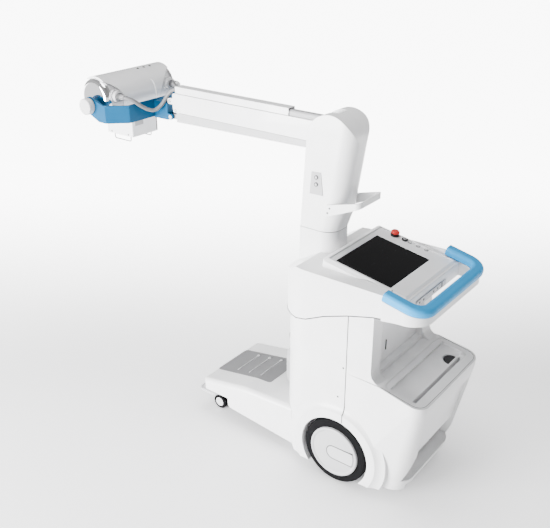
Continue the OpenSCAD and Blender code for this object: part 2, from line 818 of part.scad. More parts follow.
// Half round vent cowl on the front of the cabinet: louvres under a round shoulder
module vent_cowl() {
    cowl_r = 105;
    dome_r = 55;
    cowl_z = deck_rear_z + 34;
    louvre_h = 22;
    top_z = cowl_z + 5 * louvre_h;
    color(mat_grey) place() difference() {
        translate([cab_front_x - 10, 0, 0]) {
            for (k = [0:4]) translate([0, 0, cowl_z + louvre_h * k])
                cylinder(r1 = cowl_r - 1, r2 = cowl_r - 12, h = louvre_h - 3);
            translate([0, 0, deck_rear_z + 2]) cylinder(r = cowl_r - 14, h = top_z - deck_rear_z);
            translate([0, 0, top_z]) rotate_extrude() {
                square([cowl_r - dome_r, dome_r]);
                intersection() {
                    translate([cowl_r - dome_r, 0]) circle(dome_r);
                    square([cowl_r, dome_r]);
                }
            }
        }
        upright(0, 800) front_plan(cab_half_w, cab_front_x, cab_corner_r, -300);
    }
}

// Round headed peg above the cowl
module cowl_peg() {
    color(black) place() {
        translate([cab_front_x, 0, 500]) rotate([0, 90, 0]) cylinder(r = 14, h = 62);
        translate([cab_front_x + 62, 0, 500]) rotate([0, 90, 0]) cylinder(r1 = 46, r2 = 38, h = 14);
    }
}

// Plain ring tyre of a rear wheel
module rear_tyre(side) {
    edge = 8;
    color(black) place() translate([0, side * (rear_tyre_y - rear_tyre_w / 2), axle_z]) rotate([90, 0, 0])
        rotate_extrude() difference() {
            union() {
                translate([hub_r, -rear_tyre_w / 2]) square([rear_wheel_r - hub_r - edge, rear_tyre_w]);
                translate([hub_r, -rear_tyre_w / 2 + edge])
                    square([rear_wheel_r - hub_r, rear_tyre_w - 2 * edge]);
                for (s = [-1, 1])
                    translate([rear_wheel_r - edge, s * (rear_tyre_w / 2 - edge)]) circle(edge);
            }
        }
}

// Hub with its dished cap and raised tongue
module rear_hub(side) {
    cap_out = 12;
    color(white) place() translate([0, side * rear_tyre_y, axle_z]) rotate([-90 * side, 0, 0])
        difference() {
        union() {
            translate([0, 0, -rear_tyre_w]) cylinder(r = hub_r, h = rear_tyre_w);
            difference() {
                cylinder(r1 = hub_r, r2 = hub_r - 8, h = cap_out);
                translate([0, 0, 4]) cylinder(r1 = hub_r - 34, r2 = hub_r - 12, h = cap_out);
            }
            intersection() {
                cylinder(r = hub_r - 6, h = cap_out - 2);
                linear_extrude(cap_out - 2) {
                    translate([0, -34]) square([0.1, 68]);
                    rotate(side > 0 ? 12 : -12) mirror([1, 0]) {
                        circle(34);
                        translate([0, -34]) square([200, 68]);
                    }
                }
            }
        }
        translate([0, 0, -rear_tyre_w - 1]) cylinder(r = hub_hole_r, h = rear_tyre_w - 8);
    }
}

// Swivel head of a caster with the web between its twin wheels
module caster_fork(side) {
    color(black) place() translate([caster_x, side * caster_y, 0]) difference() {
        union() {
            cylinder_at(bumper_z - 22, 27, 20);
            cylinder_at(bumper_z - 22, caster_stem_r, cross_z1 - 10 - bumper_z + 22);
            across(8) {
                translate([-caster_trail, caster_r]) circle(16);
                polygon([[-caster_trail - 15, caster_r + 5], [-20, bumper_z - 18], [24, bumper_z - 18],
                    [-caster_trail + 15, caster_r - 6]]);
            }
        }
        pin_y(-caster_trail, caster_r, 6 + run_fit, -10, 10);
    }
}

module cylinder_at(z, r, h) {
    translate([0, 0, z]) cylinder(r = r, h = h);
}

// Twin wheels of one caster on their axle
module caster_wheel(side) {
    color(black) place() translate([caster_x - caster_trail, side * caster_y, caster_r]) {
        for (s = [-1, 1]) translate([0, s * 15.5, 0]) rotate([90, 0, 0]) rotate_extrude() {
            square_from(0, -9.5, caster_r - 4, 19);
            square_from(0, -5.5, caster_r, 11);
            for (t = [-1, 1]) translate([caster_r - 4, t * 5.5]) circle(4);
        }
        pin_y(0, 0, 6, -20, 20);
    }
}

module square_from(x, y, w, h) {
    translate([x, y]) square([w, h]);
}

// Steel socket in the mast that turns on the column's post
module mast_socket() {
    color(steel_grey) place() translate([mast_mid_x, 0, 0]) difference() {
        cylinder_at(swivel_z + 1, post_r + 18, 84);
        cylinder_at(swivel_z, post_r + run_fit, 73);
    }
}

// Side form of the mast's upper housing: a round top on a stem, whose rear mast_lean() cuts
module mast_form() {
    across(2 * mast_half_w + 20) translate([arm_x, head_round_z]) circle(head_round_r);
    across(2 * mast_half_w + 20) polygon([[mast_knee_x - 70, swivel_z + panel_gap],
        [mast_knee_x - 70, head_round_z - 26], [arm_x - head_round_r + 20, head_round_z - 26],
        [arm_x + head_round_r - 20, head_round_z + 8], [arm_x + head_round_r - 0.5, head_round_z + 4],
        [column_front_x - 2, swivel_z + panel_gap]]);
}

// Slot that the arm and the link move in
module arm_slot_outline() {
    translate([arm_slot_rear_x, arm_slot_z]) square([400, arm_z + 56 - arm_slot_z]);
    translate([arm_x - 12, arm_slot_z]) square([400, 900]);
}

// One half of the mast's upper housing
module mast_shell(side) {
    color(white) place() difference() {
        intersection() {
            mast_form();
            mast_lean();
            translate([-100, side > 0 ? 0 : -200, 1000]) cube([700, 200, 900]);
        }
        across(2 * arm_slot_half_w) arm_slot_outline();
        translate([mast_mid_x, 0, 0]) cylinder_at(1000, post_r + 18, 193);
        pin_y(arm_x, arm_z, arm_pin_r, -62, 62);
        pin_y(arm_x, link_z, link_pin_r, -62, 62);
    }
}

// The round rear corners follow both leaning lines of the housing's rear
module mast_lean() {
    intersection() {
        lean_prism(column_rear_x, swivel_z, mast_low_lean);
        lean_prism(mast_knee_x, mast_knee_z, mast_top_lean);
    }
}

// Upright prism with round rear corners, leaning back through the place x, z
module lean_prism(x, z, lean) {
    r = mast_rear_r;
    translate([x, 0, z]) rotate([0, -lean, 0]) translate([0, 0, -240]) linear_extrude(900) {
        translate([r, -mast_half_w]) square([500, 2 * mast_half_w]);
        translate([0, -mast_half_w + r]) square([500, 2 * (mast_half_w - r)]);
        for (s = [-1, 1]) translate([r, s * (mast_half_w - r)]) circle(r);
    }
}

// Grey keypad plate on the left face
module keypad_plate() {
    color(mat_grey) place() translate([0, mast_half_w + 2, 0]) rotate([90, 0, 0]) linear_extrude(2)
        polygon([[236, 1374], [283, 1371], [291, 1272], [223, 1274]]);
}

module keypad_buttons() {
    color(black) place() for (z = [1350, 1319])
        pin_y(258, z, 9, mast_half_w + 2, mast_half_w + 5);
}

// Strap shaped grab bar around the rear of the housing
module grab_strap() {
    strap_t = 8;
    front_x = arm_x - 1;
    rear_x = arm_x - 167;
    z = swivel_z + 84;
    corner_r = 26;
    color(white) place() intersection() {
        across(400) polygon([[front_x, z + 4], [front_x, z + 48], [rear_x, z + 92], [rear_x, z + 66],
            [front_x - 14, z]]);
        upright(z - 40, z + 200) difference() {
            round_rect(rear_x, front_x + 120, -mast_half_w - strap_t, mast_half_w + strap_t, corner_r);
            round_rect(rear_x + strap_t, front_x + 200, -mast_half_w, mast_half_w, corner_r - strap_t);
        }
    }
}

// Pins in the mast for the arm and for the link
module mast_pins() {
    color("silver") place() {
        pin_y(arm_x, arm_z, arm_pin_r, -62, 62);
        pin_y(arm_x, link_z, link_pin_r, -62, 62);
    }
}

// Channel beam of the arm, open below, with its rear hub and its front fork
module arm_beam() {
    nose_x = head_x - 25;
    heel_z = link_drop * cos(45) - link_pin_r - move_gap;
    heel_x = link_drop * sin(45) + link_pin_r + 3;
    color(white) place() difference() {
        union() {
            difference() {
                across(2 * beam_half_w) {
                    polygon([[arm_x, arm_z - heel_z], [arm_x + heel_x, arm_z - heel_z],
                        [arm_x + heel_x + 30, arm_z - beam_down], [nose_x - 12, arm_z - beam_down],
                        [nose_x - 12, arm_z + beam_up], [arm_x, arm_z + beam_up]]);
                    translate([nose_x - 13, arm_z - beam_down + 22]) square([13, beam_up + beam_down - 34]);
                    translate([nose_x - 12, arm_z + beam_up - 12]) circle(12);
                    translate([nose_x - 22, arm_z - beam_down + 22]) circle(22);
                    translate([arm_x, arm_z - 2]) circle(beam_up + 1);
                }
                translate([arm_x - 100, -beam_half_w + beam_wall, arm_z - beam_down - 40])
                    cube([arm_len + 200, 2 * (beam_half_w - beam_wall),
                        beam_up + beam_down + 40 - beam_wall]);
            }
            pin_y(arm_x, arm_z, arm_pin_r + 5, -beam_half_w + 1, beam_half_w - 1);
            translate([head_x - 80, -beam_half_w + 1, arm_z - 22])
                cube([50, 2 * beam_half_w - 2, beam_up + 20]);
            both_sides() translate([0, 17, 0]) across(10) {
                translate([head_x, arm_z]) circle(14);
                translate([head_x - 60, arm_z - 14]) square([60, 28]);
            }
        }
        pin_y(arm_x, arm_z, arm_pin_r + run_fit, -50, 50);
        pin_y(head_x, arm_z, head_pin_r + run_fit, -50, 50);
    }
}

// Cable cover on the beam, a hollow channel open at both ends
module arm_cover() {
    x0 = arm_x + 250;
    x1 = head_x - 42;
    wall = 2.5;
    top_z = arm_z + beam_up;
    color(white) place() difference() {
        translate([x0, -cover_half_w, top_z]) cube([x1 - x0, 2 * cover_half_w, cover_h]);
        translate([x0 - 1, -cover_half_w + wall, top_z - 1])
            cube([x1 - x0 + 2, 2 * (cover_half_w - wall), cover_h + 1 - wall]);
    }
}

// Grey conduit that runs from the cover back into the mast
module arm_conduit() {
    top_z = arm_z + beam_up;
    color(steel_grey) place() translate([arm_x + 93, 0, top_z]) rotate([90, 0, 90])
        linear_extrude(arm_len - 197) {
        translate([-18, 0]) square([36, 16]);
        translate([-8, 15]) square([16, 10]);
        for (s = [-1, 1]) translate([s * 8, 15]) circle(10);
    }
}

// Lower link of the parallel arm
module arm_link() {
    color(light_grey) place() difference() {
        union() {
            across(2 * link_half_w) {
                polygon([[arm_x, link_z - 1], [head_x - 40, link_z - 19], [head_x - 40, link_z + 26],
                    [arm_x, link_z + 26]]);
                translate([arm_x, link_z + 4]) circle(22);
            }
            across(12) {
                translate([head_x - 60, link_z - 12]) square([60, 24]);
                translate([head_x, link_z]) circle(12);
            }
        }
        pin_y(arm_x, link_z, link_pin_r + run_fit, -50, 50);
        pin_y(head_x, link_z, head_pin_r + run_fit, -50, 50);
    }
}

// Plan of the yoke's bent bar, outer or inner side
module yoke_plan(inset) {
    polygon([[tube_x + 80, -yoke_half_w + inset], [yoke_bend_x + inset * 0.4, -yoke_half_w + inset],
        [yoke_rear_x + inset, -yoke_bend_y + inset * 0.4], [yoke_rear_x + inset, yoke_bend_y - inset * 0.4],
        [yoke_bend_x + inset * 0.4, yoke_half_w - inset], [tube_x + 80, yoke_half_w - inset]]);
}

// Blue yoke with the bracket that hangs on the arm's end
module yoke() {
    boss_r = 42;
    slope_x = yoke_bend_x + 14;
    color(sky_blue) place() difference() {
        union() {
            intersection() {
                upright(yoke_z - 100, yoke_z + 300) difference() {
                    yoke_plan(0);
                    yoke_plan(yoke_t);
                }
                across(800) {
                    translate([yoke_rear_x - 10, yoke_z]) square([slope_x - yoke_rear_x + 12, yoke_h]);
                    polygon([[slope_x, yoke_z], [slope_x, yoke_z + yoke_h],
                        [tube_x - 14, trunnion_z + boss_r - 3], [tube_x + 8, trunnion_z - boss_r + 1],
                        [slope_x + 34, yoke_z]]);
                    translate([tube_x, trunnion_z]) circle(boss_r);
                }
            }
            both_sides() pin_y(tube_x, trunnion_z, 24, tube_half_l + move_gap, yoke_half_w - 1);
            translate([0, 0, 0]) across(40) {
                translate([head_x + 20, link_z - 18]) square([yoke_rear_x - head_x - 19, 84]);
            }
            across(14) {
                translate([head_x, arm_z]) circle(14);
                translate([head_x, arm_z - 14]) square([50, 28]);
                translate([head_x + 20, link_z + 40]) square([30, arm_z - link_z - 26]);
            }
            both_sides() translate([0, 15.5, 0]) across(9) {
                translate([head_x, link_z]) circle(14);
                translate([head_x, link_z - 14]) square([30, 28]);
            }
        }
        both_sides() pin_y(tube_x, trunnion_z, trunnion_r + run_fit, 200, 400);
        pin_y(head_x, arm_z, head_pin_r, -50, 50);
        pin_y(head_x, link_z, head_pin_r, -50, 50);
    }
}

// Clamp knobs on the trunnions
module yoke_knobs() {
    color(light_grey) place() both_sides()
        translate([tube_x, yoke_half_w, trunnion_z]) rotate([-90, 0, 0]) {
            cylinder(r = knob_r - 3, h = 8);
            translate([0, 0, 6]) cylinder(r = knob_r, h = knob_t - 9);
            translate([0, 0, knob_t - 3]) cylinder(r1 = knob_r, r2 = knob_r - 3, h = 3);
        }
}

// Pins of the head's bracket
module head_pins() {
    color("silver") place() {
        pin_y(head_x, arm_z, head_pin_r, -26, 26);
        pin_y(head_x, link_z, head_pin_r, -23, 23);
    }
}

// Tube housing between the end caps, with its trunnion pins and the collimator flange
module tube_body() {
    color(white) place() {
        pin_y(tube_x, tube_z, cap_r - 5, -cap_y, cap_y);
        both_sides() pin_y(tube_x, trunnion_z, trunnion_r, hood_half_l - 26, yoke_half_w);
        translate([tube_x, 0, coll_z + coll_h]) cylinder(r = flange_r, h = 60);
    }
}

// Domed end caps
module end_caps() {
    edge = 22;
    color("silver") place() both_sides() difference() {
        translate([tube_x, 0, tube_z]) rotate([-90, 0, 0]) rotate_extrude() {
            square_from(0, cap_y, cap_r, tube_half_l - edge - cap_y);
            square_from(0, cap_y, cap_r - edge, tube_half_l - cap_y);
            intersection() {
                translate([cap_r - edge, tube_half_l - edge]) circle(edge);
                square_from(0, cap_y, 2 * cap_r, tube_half_l);
            }
        }
        pin_y(tube_x, trunnion_z, trunnion_r, 0, 400);
    }
}

// White hood over the tube, cut in an arch at both ends
module tube_hood() {
    arch_cut_r = 150;
    color(white) place() difference() {
        pin_y(tube_x, tube_z, hood_r, -hood_half_l, hood_half_l);
        pin_y(tube_x, tube_z, cap_r - 5 + near_fit, -400, 400);
        both_sides() pin_y(tube_x, tube_z, cap_r + near_fit, cap_y - near_fit, 400);
        both_sides() translate([tube_x - 300, hood_half_l + 46, tube_z - 62]) rotate([0, 90, 0])
            cylinder(r = arch_cut_r, h = 600);
        both_sides() translate([tube_x - 300, hood_half_l + 46 - arch_cut_r, tube_z - 400])
            cube([600, 2 * arch_cut_r, 338]);
        translate([tube_x, 0, coll_z]) cylinder(r = flange_r + near_fit, h = 60 + coll_h);
        translate([tube_x - 200, -300, tube_z - 300]) cube([400, 600, 300 - 74]);
    }
}

// Stepped sockets of the two high voltage cables, with their grey boots
module cable_sockets() {
    color(light_grey) place() both_sides() difference() {
        translate([tube_x, socket_y, socket_z]) rotate([0, -90, 0]) {
            cylinder(r = 32, h = 96);
            translate([0, 0, 95]) cylinder(r = 27, h = 22);
            translate([0, 0, 116]) cylinder(r1 = 17, r2 = hv_r + 3, h = boot_reach - 116);
        }
        pin_y(tube_x, tube_z, cap_r - 5, 0, 400);
        pin_y(tube_x, tube_z, cap_r + near_fit, cap_y - near_fit, 400);
    }
}

// Square collimator under the tube
module collimator() {
    color(white) place() difference() {
        translate([tube_x, 0, 0]) upright(coll_z, coll_z + coll_h - near_fit)
            round_rect(-coll_l / 2, coll_l / 2, -coll_w / 2, coll_w / 2, 8);
        translate([tube_x - coll_l / 2 - 1, window_y, coll_z + window_z]) cube([3, window_w, window_h]);
        translate([tube_x, 0, coll_z - 1]) cube([110, 110, 9], center = true);
    }
}

module collimator_window() {
    color(steel_grey) place() translate([tube_x - coll_l / 2, window_y, coll_z + window_z])
        cube([2, window_w, window_h]);
}

// Two wire rails under the collimator
module wire_rails() {
    rail_len = 116;
    bend_r = 10;
    r = rail_d / 2;
    color("silver") place() for (y = [-70, 70]) translate([tube_x, y, coll_z]) {
        for (s = [-1, 1]) {
            translate([s * rail_len / 2, 0, -rail_drop + bend_r]) cylinder(r = r, h = rail_drop - bend_r);
            translate([s * (rail_len / 2 - bend_r), 0, -rail_drop + bend_r]) rotate([90, 0, 0])
                rotate(s > 0 ? -90 : 180) rotate_extrude(angle = 90) translate([bend_r, 0])
                    circle(r, $fn = 24);
        }
        translate([-rail_len / 2 + bend_r, 0, -rail_drop]) rotate([0, 90, 0])
            cylinder(r = r, h = rail_len - 2 * bend_r);
    }
}

// A round cable swept along a route of points
function unit(v) = v / norm(v);
function tangent(p, i) = unit(p[min(i + 1, len(p) - 1)] - p[max(i - 1, 0)]);
function side_of(t) = unit(cross(t, abs(t[2]) > 0.9 ? [1, 0, 0] : [0, 0, 1]));
function smooth(p) = [for (i = [0:len(p) - 1]) each i == len(p) - 1 ? [p[i]] :
    [p[i], (p[i] + p[i + 1]) / 2 + (i == 0 || i == len(p) - 2 ? [0, 0, 0] :
    (p[i] + p[i + 1] - p[i - 1] - p[i + 2]) / 16)]];

module cable(points, r, sides) {
    path = smooth(points);
    n = len(path);
    rings = [for (i = [0:n - 1]) let (t = tangent(path, i), u = side_of(t), v = cross(t, u))
        for (k = [0:sides - 1]) path[i] + r * (cos(360 * k / sides) * u + sin(360 * k / sides) * v)];
    polyhedron(points = rings, faces = concat(
        [[for (k = [0:sides - 1]) k]],
        [for (i = [0:n - 2], k = [0:sides - 1]) [i * sides + k, (i + 1) * sides + k,
            (i + 1) * sides + (k + 1) % sides, i * sides + (k + 1) % sides]],
        [[for (k = [sides - 1:-1:0]) (n - 1) * sides + k]]));
}

// Routes from the arm's end pivot: out of the boot, down in a slack bow and up into the arm's cover
function from_head(route) = [for (p = route) [head_x + p[0], p[1], arm_z + p[2]]];
boot_end = tube_reach - boot_reach - near_fit;
boot_up = socket_z - arm_z;
left_route = from_head([[boot_end, socket_y, boot_up], [boot_end - 10, socket_y, boot_up], [124, 171, 21],
    [106, 158, 12], [90, 132, -12], [78, 98, -36], [64, 66, -45], [46, 42, -28], [28, 26, 2], [10, 16, 32],
    [-14, 11, 52], [-46, 10, 58]]);
right_route = from_head([[boot_end, -socket_y, boot_up], [boot_end - 10, -socket_y, boot_up],
    [124, -171, 28], [102, -150, 37], [78, -112, 54], [52, -72, 66], [24, -38, 70], [-4, -18, 66],
    [-30, -11, 60], [-46, -10, 58]]);
lead_route = from_head([[206.2, -60, 60], [198, -60, 60], [182, -56, 52], [162, -46, 32], [146, -36, 10],
    [134, -26, -6]]);

module hv_cable_left() {
    color(steel_grey) place() cable(left_route, hv_r, 10);
}

module hv_cable_right() {
    color(steel_grey) place() cable(right_route, hv_r, 10);
}

module control_lead() {
    color(white) place() cable(lead_route, lead_r, 8);
}

chassis_frame();
rear_axle();
power_pack();
deck();
deck_mat();
bumper_plate();
cabinet_front();
cabinet_rear();
bin_tray();
shoulder();
push_handle();
desk();
screen();
stop_collar();
stop_button();
key_switch();
desk_lamps();
port_panel();
column();
vent_cowl();
cowl_peg();
rear_tyre(1);  // rear_tyre_left
rear_tyre(-1);  // rear_tyre_right
rear_hub(1);  // rear_hub_left
rear_hub(-1);  // rear_hub_right
caster_fork(1);  // caster_fork_left
caster_fork(-1);  // caster_fork_right
caster_wheel(1);  // caster_wheel_left
caster_wheel(-1);  // caster_wheel_right
mast_socket();
mast_shell(1);  // mast_shell_left
mast_shell(-1);  // mast_shell_right
keypad_plate();
keypad_buttons();
grab_strap();
mast_pins();
arm_beam();
arm_cover();
arm_conduit();
arm_link();
yoke();
yoke_knobs();
head_pins();
tube_body();
tube_hood();
end_caps();
cable_sockets();
collimator();
collimator_window();
wire_rails();
hv_cable_left();
hv_cable_right();
control_lead();
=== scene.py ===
from math import atan2, cos, degrees, pi, radians, sin, tan

import bmesh
import bpy
from mathutils import Matrix, Vector, geometry


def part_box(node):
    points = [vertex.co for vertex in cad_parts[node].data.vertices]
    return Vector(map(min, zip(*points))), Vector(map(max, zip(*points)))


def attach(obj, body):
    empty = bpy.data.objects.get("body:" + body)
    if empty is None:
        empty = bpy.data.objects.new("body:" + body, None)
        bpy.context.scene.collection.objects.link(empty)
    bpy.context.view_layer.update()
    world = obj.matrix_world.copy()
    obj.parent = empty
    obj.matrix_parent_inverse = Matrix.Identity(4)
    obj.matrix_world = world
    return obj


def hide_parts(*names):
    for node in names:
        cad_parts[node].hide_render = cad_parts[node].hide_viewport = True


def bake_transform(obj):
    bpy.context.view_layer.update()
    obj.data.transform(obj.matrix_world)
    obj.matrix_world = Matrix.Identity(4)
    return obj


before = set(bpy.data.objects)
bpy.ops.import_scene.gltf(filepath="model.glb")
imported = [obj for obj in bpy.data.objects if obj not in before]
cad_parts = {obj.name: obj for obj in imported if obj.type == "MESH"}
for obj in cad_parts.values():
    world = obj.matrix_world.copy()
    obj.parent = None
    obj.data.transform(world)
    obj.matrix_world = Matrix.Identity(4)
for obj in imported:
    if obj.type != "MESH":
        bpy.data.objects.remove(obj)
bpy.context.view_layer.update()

# Camera
# The photograph looks down on the machine's rear left corner from above eye height.
# Sizes in this script are in metres; the rear axle stands at AXLE_X, the floor at z = 0.
AXLE_X = -0.573
eye = Vector((AXLE_X - 1.5139, 2.6996, 2.4506))
heading, drop = radians(52.7), radians(25.5)
look = Vector((cos(heading) * cos(drop), -sin(heading) * cos(drop), -sin(drop)))
camera = bpy.data.objects.new("camera", bpy.data.cameras.new("camera"))
camera.data.sensor_width = 36.0
camera.data.lens = 36.0 * 790.6 / 550
camera.location = eye
camera.rotation_euler = look.to_track_quat("-Z", "Y").to_euler()
bpy.context.collection.objects.link(camera)
bpy.context.scene.camera = camera


# High voltage cables and control lead
# Two grey rubber cables leave the tube's sockets, hang over the yoke and enter the arm's cover.
# Each is a swept round section in two lengths.
def place(x, y, z):
    """A place given in millimetres from the rear axle, as a vector in metres."""
    return Vector((AXLE_X + x / 1000, y / 1000, z / 1000))


def moulded(name, colour, roughness, grain=0.0008, relief=0.04, edge=0.002, shade=0.03, coat=0.0,
            shine=0.5):
    """A moulded or painted skin: fine grain, faint cloudiness in its colour and softened edges."""
    material = bpy.data.materials.new(name)
    material.use_nodes = True
    nodes, links = material.node_tree.nodes, material.node_tree.links
    shader = nodes["Principled BSDF"]
    where = nodes.new("ShaderNodeTexCoord")
    cloud = nodes.new("ShaderNodeTexNoise")
    cloud.inputs["Scale"].default_value = 9.0
    cloud.inputs["Detail"].default_value = 3.0
    tint = nodes.new("ShaderNodeValToRGB")
    tint.color_ramp.elements[0].position = 0.35
    tint.color_ramp.elements[1].position = 0.65
    tint.color_ramp.elements[0].color = [c * (1 - shade) for c in colour] + [1]
    tint.color_ramp.elements[1].color = [min(1.0, c * (1 + shade / 2)) for c in colour] + [1]
    speck = nodes.new("ShaderNodeTexNoise")
    speck.inputs["Scale"].default_value = 1.0 / grain
    speck.inputs["Detail"].default_value = 2.0
    gloss = nodes.new("ShaderNodeMapRange")
    gloss.inputs["To Min"].default_value = max(0.02, roughness - 0.05)
    gloss.inputs["To Max"].default_value = roughness + 0.05
    bump = nodes.new("ShaderNodeBump")
    bump.inputs["Strength"].default_value = relief
    bump.inputs["Distance"].default_value = grain
    rim = nodes.new("ShaderNodeBevel")
    rim.samples = 4
    rim.inputs["Radius"].default_value = edge
    links.new(where.outputs["Object"], cloud.inputs["Vector"])
    links.new(where.outputs["Object"], speck.inputs["Vector"])
    links.new(cloud.outputs["Fac"], tint.inputs["Fac"])
    links.new(tint.outputs["Color"], shader.inputs["Base Color"])
    links.new(cloud.outputs["Fac"], gloss.inputs["Value"])
    links.new(gloss.outputs["Result"], shader.inputs["Roughness"])
    links.new(speck.outputs["Fac"], bump.inputs["Height"])
    links.new(rim.outputs["Normal"], bump.inputs["Normal"])
    links.new(bump.outputs["Normal"], shader.inputs["Normal"])
    shader.inputs["Coat Weight"].default_value = coat
    shader.inputs["Specular IOR Level"].default_value = shine
    return material


def finish_node(node, material):
    """Gives a carried-over solid its finish."""
    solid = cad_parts[node]
    solid.data.materials.clear()
    solid.data.materials.append(material)


def new_piece(name, mesh, material, body=None):
    piece = bpy.data.objects.new(name, mesh)
    bpy.context.collection.objects.link(piece)
    mesh.materials.clear()
    mesh.materials.append(material)
    if body:
        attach(piece, body)
    return piece


def swept(name, points, radius, sides=6, straight=False):
    """A round section swept through the points, along a smooth curve or straight from each to the next."""
    curve = bpy.data.curves.new(name, "CURVE")
    curve.dimensions = "3D"
    curve.bevel_depth = radius
    curve.bevel_resolution = sides
    curve.resolution_u = 10
    curve.use_fill_caps = True
    spline = curve.splines.new("BEZIER")
    spline.bezier_points.add(len(points) - 1)
    for knot, point in zip(spline.bezier_points, points):
        knot.co = point
        knot.handle_left_type = knot.handle_right_type = "VECTOR" if straight else "AUTO"
    holder = bpy.data.objects.new(name, curve)
    mesh = bpy.data.meshes.new_from_object(holder)
    bpy.data.objects.remove(holder)
    bpy.data.curves.remove(curve)
    for face in mesh.polygons:
        face.use_smooth = True
    return mesh


cable_rubber = moulded("cable_rubber", (0.15, 0.15, 0.155), 0.5, grain=0.0012, relief=0.08, edge=0.001, shine=0.3)
lead_rubber = moulded("lead_rubber", (0.86, 0.86, 0.87), 0.4, edge=0.0005)
HV_RADIUS = 0.009
left_run = [(1305.7, 176, 1550), (1295.7, 176, 1550), (1284, 171, 1547), (1266, 158, 1538), (1250, 132, 1514),
            (1238, 98, 1490), (1224, 66, 1481), (1206, 42, 1498), (1188, 26, 1528), (1170, 16, 1558),
            (1146, 11, 1578), (1114, 10, 1584)]
right_run = [(1305.7, -176, 1550), (1295.7, -176, 1550), (1284, -171, 1554), (1262, -150, 1563),
             (1238, -112, 1580), (1212, -72, 1592), (1184, -38, 1596), (1156, -18, 1592),
             (1130, -11, 1586), (1114, -10, 1584)]
lead_run = [(1366.2, -60, 1586), (1358, -60, 1586), (1342, -56, 1578), (1322, -46, 1558), (1306, -36, 1536),
            (1294, -26, 1520)]
for side, run, turn in (("left", left_run, 5), ("right", right_run, 4)):
    run = [place(*p) for p in run]
    head_length = new_piece("hv_cable_%s_head" % side, swept("head", run[:turn + 1], HV_RADIUS), cable_rubber)
    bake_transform(head_length)
    arm_length = new_piece("hv_cable_%s_arm" % side, swept("arm", run[turn:], HV_RADIUS), cable_rubber)
    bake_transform(arm_length)
    for piece in (head_length, arm_length):
        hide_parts("hv_cable_" + side)
lead_run = [place(*p) for p in lead_run]
control_lead = new_piece("control_lead_run", swept("lead", lead_run, 0.0035), lead_rubber)
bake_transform(control_lead)
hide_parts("control_lead")

# Floor and light
# A pale studio floor that glows, its painted glow running out into white far off and painted darker near the machine
# as contact shadow, a broad low lamp on the machine's left side, and a white surround that is darker overhead, as on a
# product photograph.
floor_mesh = bpy.data.meshes.new("floor")
floor_mesh.from_pydata([(-40, -40, 0), (40, -40, 0), (40, 40, 0), (-40, 40, 0)], [], [(0, 1, 2, 3)])
floor_skin = moulded("floor_skin", (0.80, 0.80, 0.81), 0.6, grain=0.002, relief=0.01, shade=0.004, shine=0.2)
floor_nodes, floor_links = floor_skin.node_tree.nodes, floor_skin.node_tree.links
spot = floor_nodes.new("ShaderNodeTexCoord")
reach = floor_nodes.new("ShaderNodeVectorMath")
reach.operation = "DOT_PRODUCT"
reach.inputs[1].default_value = (cos(heading), -sin(heading), 0.0)
fade = floor_nodes.new("ShaderNodeMapRange")
fade.interpolation_type = "SMOOTHSTEP"
FADE_START, FADE_END, NEAR_GLOW, FAR_GLOW = 0.2, 3.6, 1.15, 9.0
for socket, value in (("From Min", FADE_START), ("From Max", FADE_END), ("To Min", NEAR_GLOW), ("To Max", FAR_GLOW)):
    fade.inputs[socket].default_value = value
# Painted contact shadow: ambient occlusion darkens the floor's glow near the machine.
painted_contact_shadow = floor_nodes.new("ShaderNodeAmbientOcclusion")
painted_contact_shadow.samples = 8
painted_contact_shadow.inputs["Distance"].default_value = 0.5
glow = floor_nodes.new("ShaderNodeMath")
glow.operation = "MULTIPLY"
floor_links.new(spot.outputs["Object"], reach.inputs[0])
floor_links.new(reach.outputs["Value"], fade.inputs["Value"])
floor_links.new(fade.outputs["Result"], glow.inputs[0])
floor_links.new(painted_contact_shadow.outputs["AO"], glow.inputs[1])
floor_links.new(glow.outputs["Value"], floor_nodes["Principled BSDF"].inputs["Emission Strength"])
floor_nodes["Principled BSDF"].inputs["Emission Color"].default_value = (1.0, 1.0, 1.0, 1)
floor = new_piece("floor", floor_mesh, floor_skin)


def lamp(name, at, towards, width, height, power):
    light = bpy.data.lights.new(name, "AREA")
    light.shape = "RECTANGLE"
    light.size = width
    light.size_y = height
    light.energy = power
    holder = bpy.data.objects.new(name, light)
    holder.location = at
    holder.rotation_euler = (Vector(towards) - Vector(at)).to_track_quat("-Z", "Y").to_euler()
    bpy.context.collection.objects.link(holder)


lamp("key", (1.7, 4.5, 1.1), (-0.2, 0.0, 0.85), 3.0, 1.9, 1150)
lamp("top", (-0.1, 0.2, 4.6), (-0.3, 0.0, 0.9), 2.0, 2.0, 130)
surround = bpy.data.worlds.new("surround")
surround.use_nodes = True
sky_nodes, sky_links = surround.node_tree.nodes, surround.node_tree.links
direction = sky_nodes.new("ShaderNodeTexCoord")
height_of = sky_nodes.new("ShaderNodeSeparateXYZ")
overhead = sky_nodes.new("ShaderNodeMapRange")
behind = sky_nodes.new("ShaderNodeMapRange")
for socket, above, rearward in (("From Min", 0.40, -0.8), ("From Max", 0.75, 0.1), ("To Min", 0.66, 0.45),
                                ("To Max", 0.5, 1.0)):
    overhead.inputs[socket].default_value = above
    behind.inputs[socket].default_value = rearward
both = sky_nodes.new("ShaderNodeMath")
both.operation = "MULTIPLY"
sky_links.new(direction.outputs["Generated"], height_of.inputs["Vector"])
sky_links.new(height_of.outputs["Z"], overhead.inputs["Value"])
sky_links.new(height_of.outputs["X"], behind.inputs["Value"])
sky_links.new(overhead.outputs["Result"], both.inputs[0])
sky_links.new(behind.outputs["Result"], both.inputs[1])
sky_links.new(both.outputs["Value"], sky_nodes["Background"].inputs["Strength"])
sky_nodes["Background"].inputs["Color"].default_value = (1.0, 1.0, 1.0, 1)
bpy.context.scene.world = surround

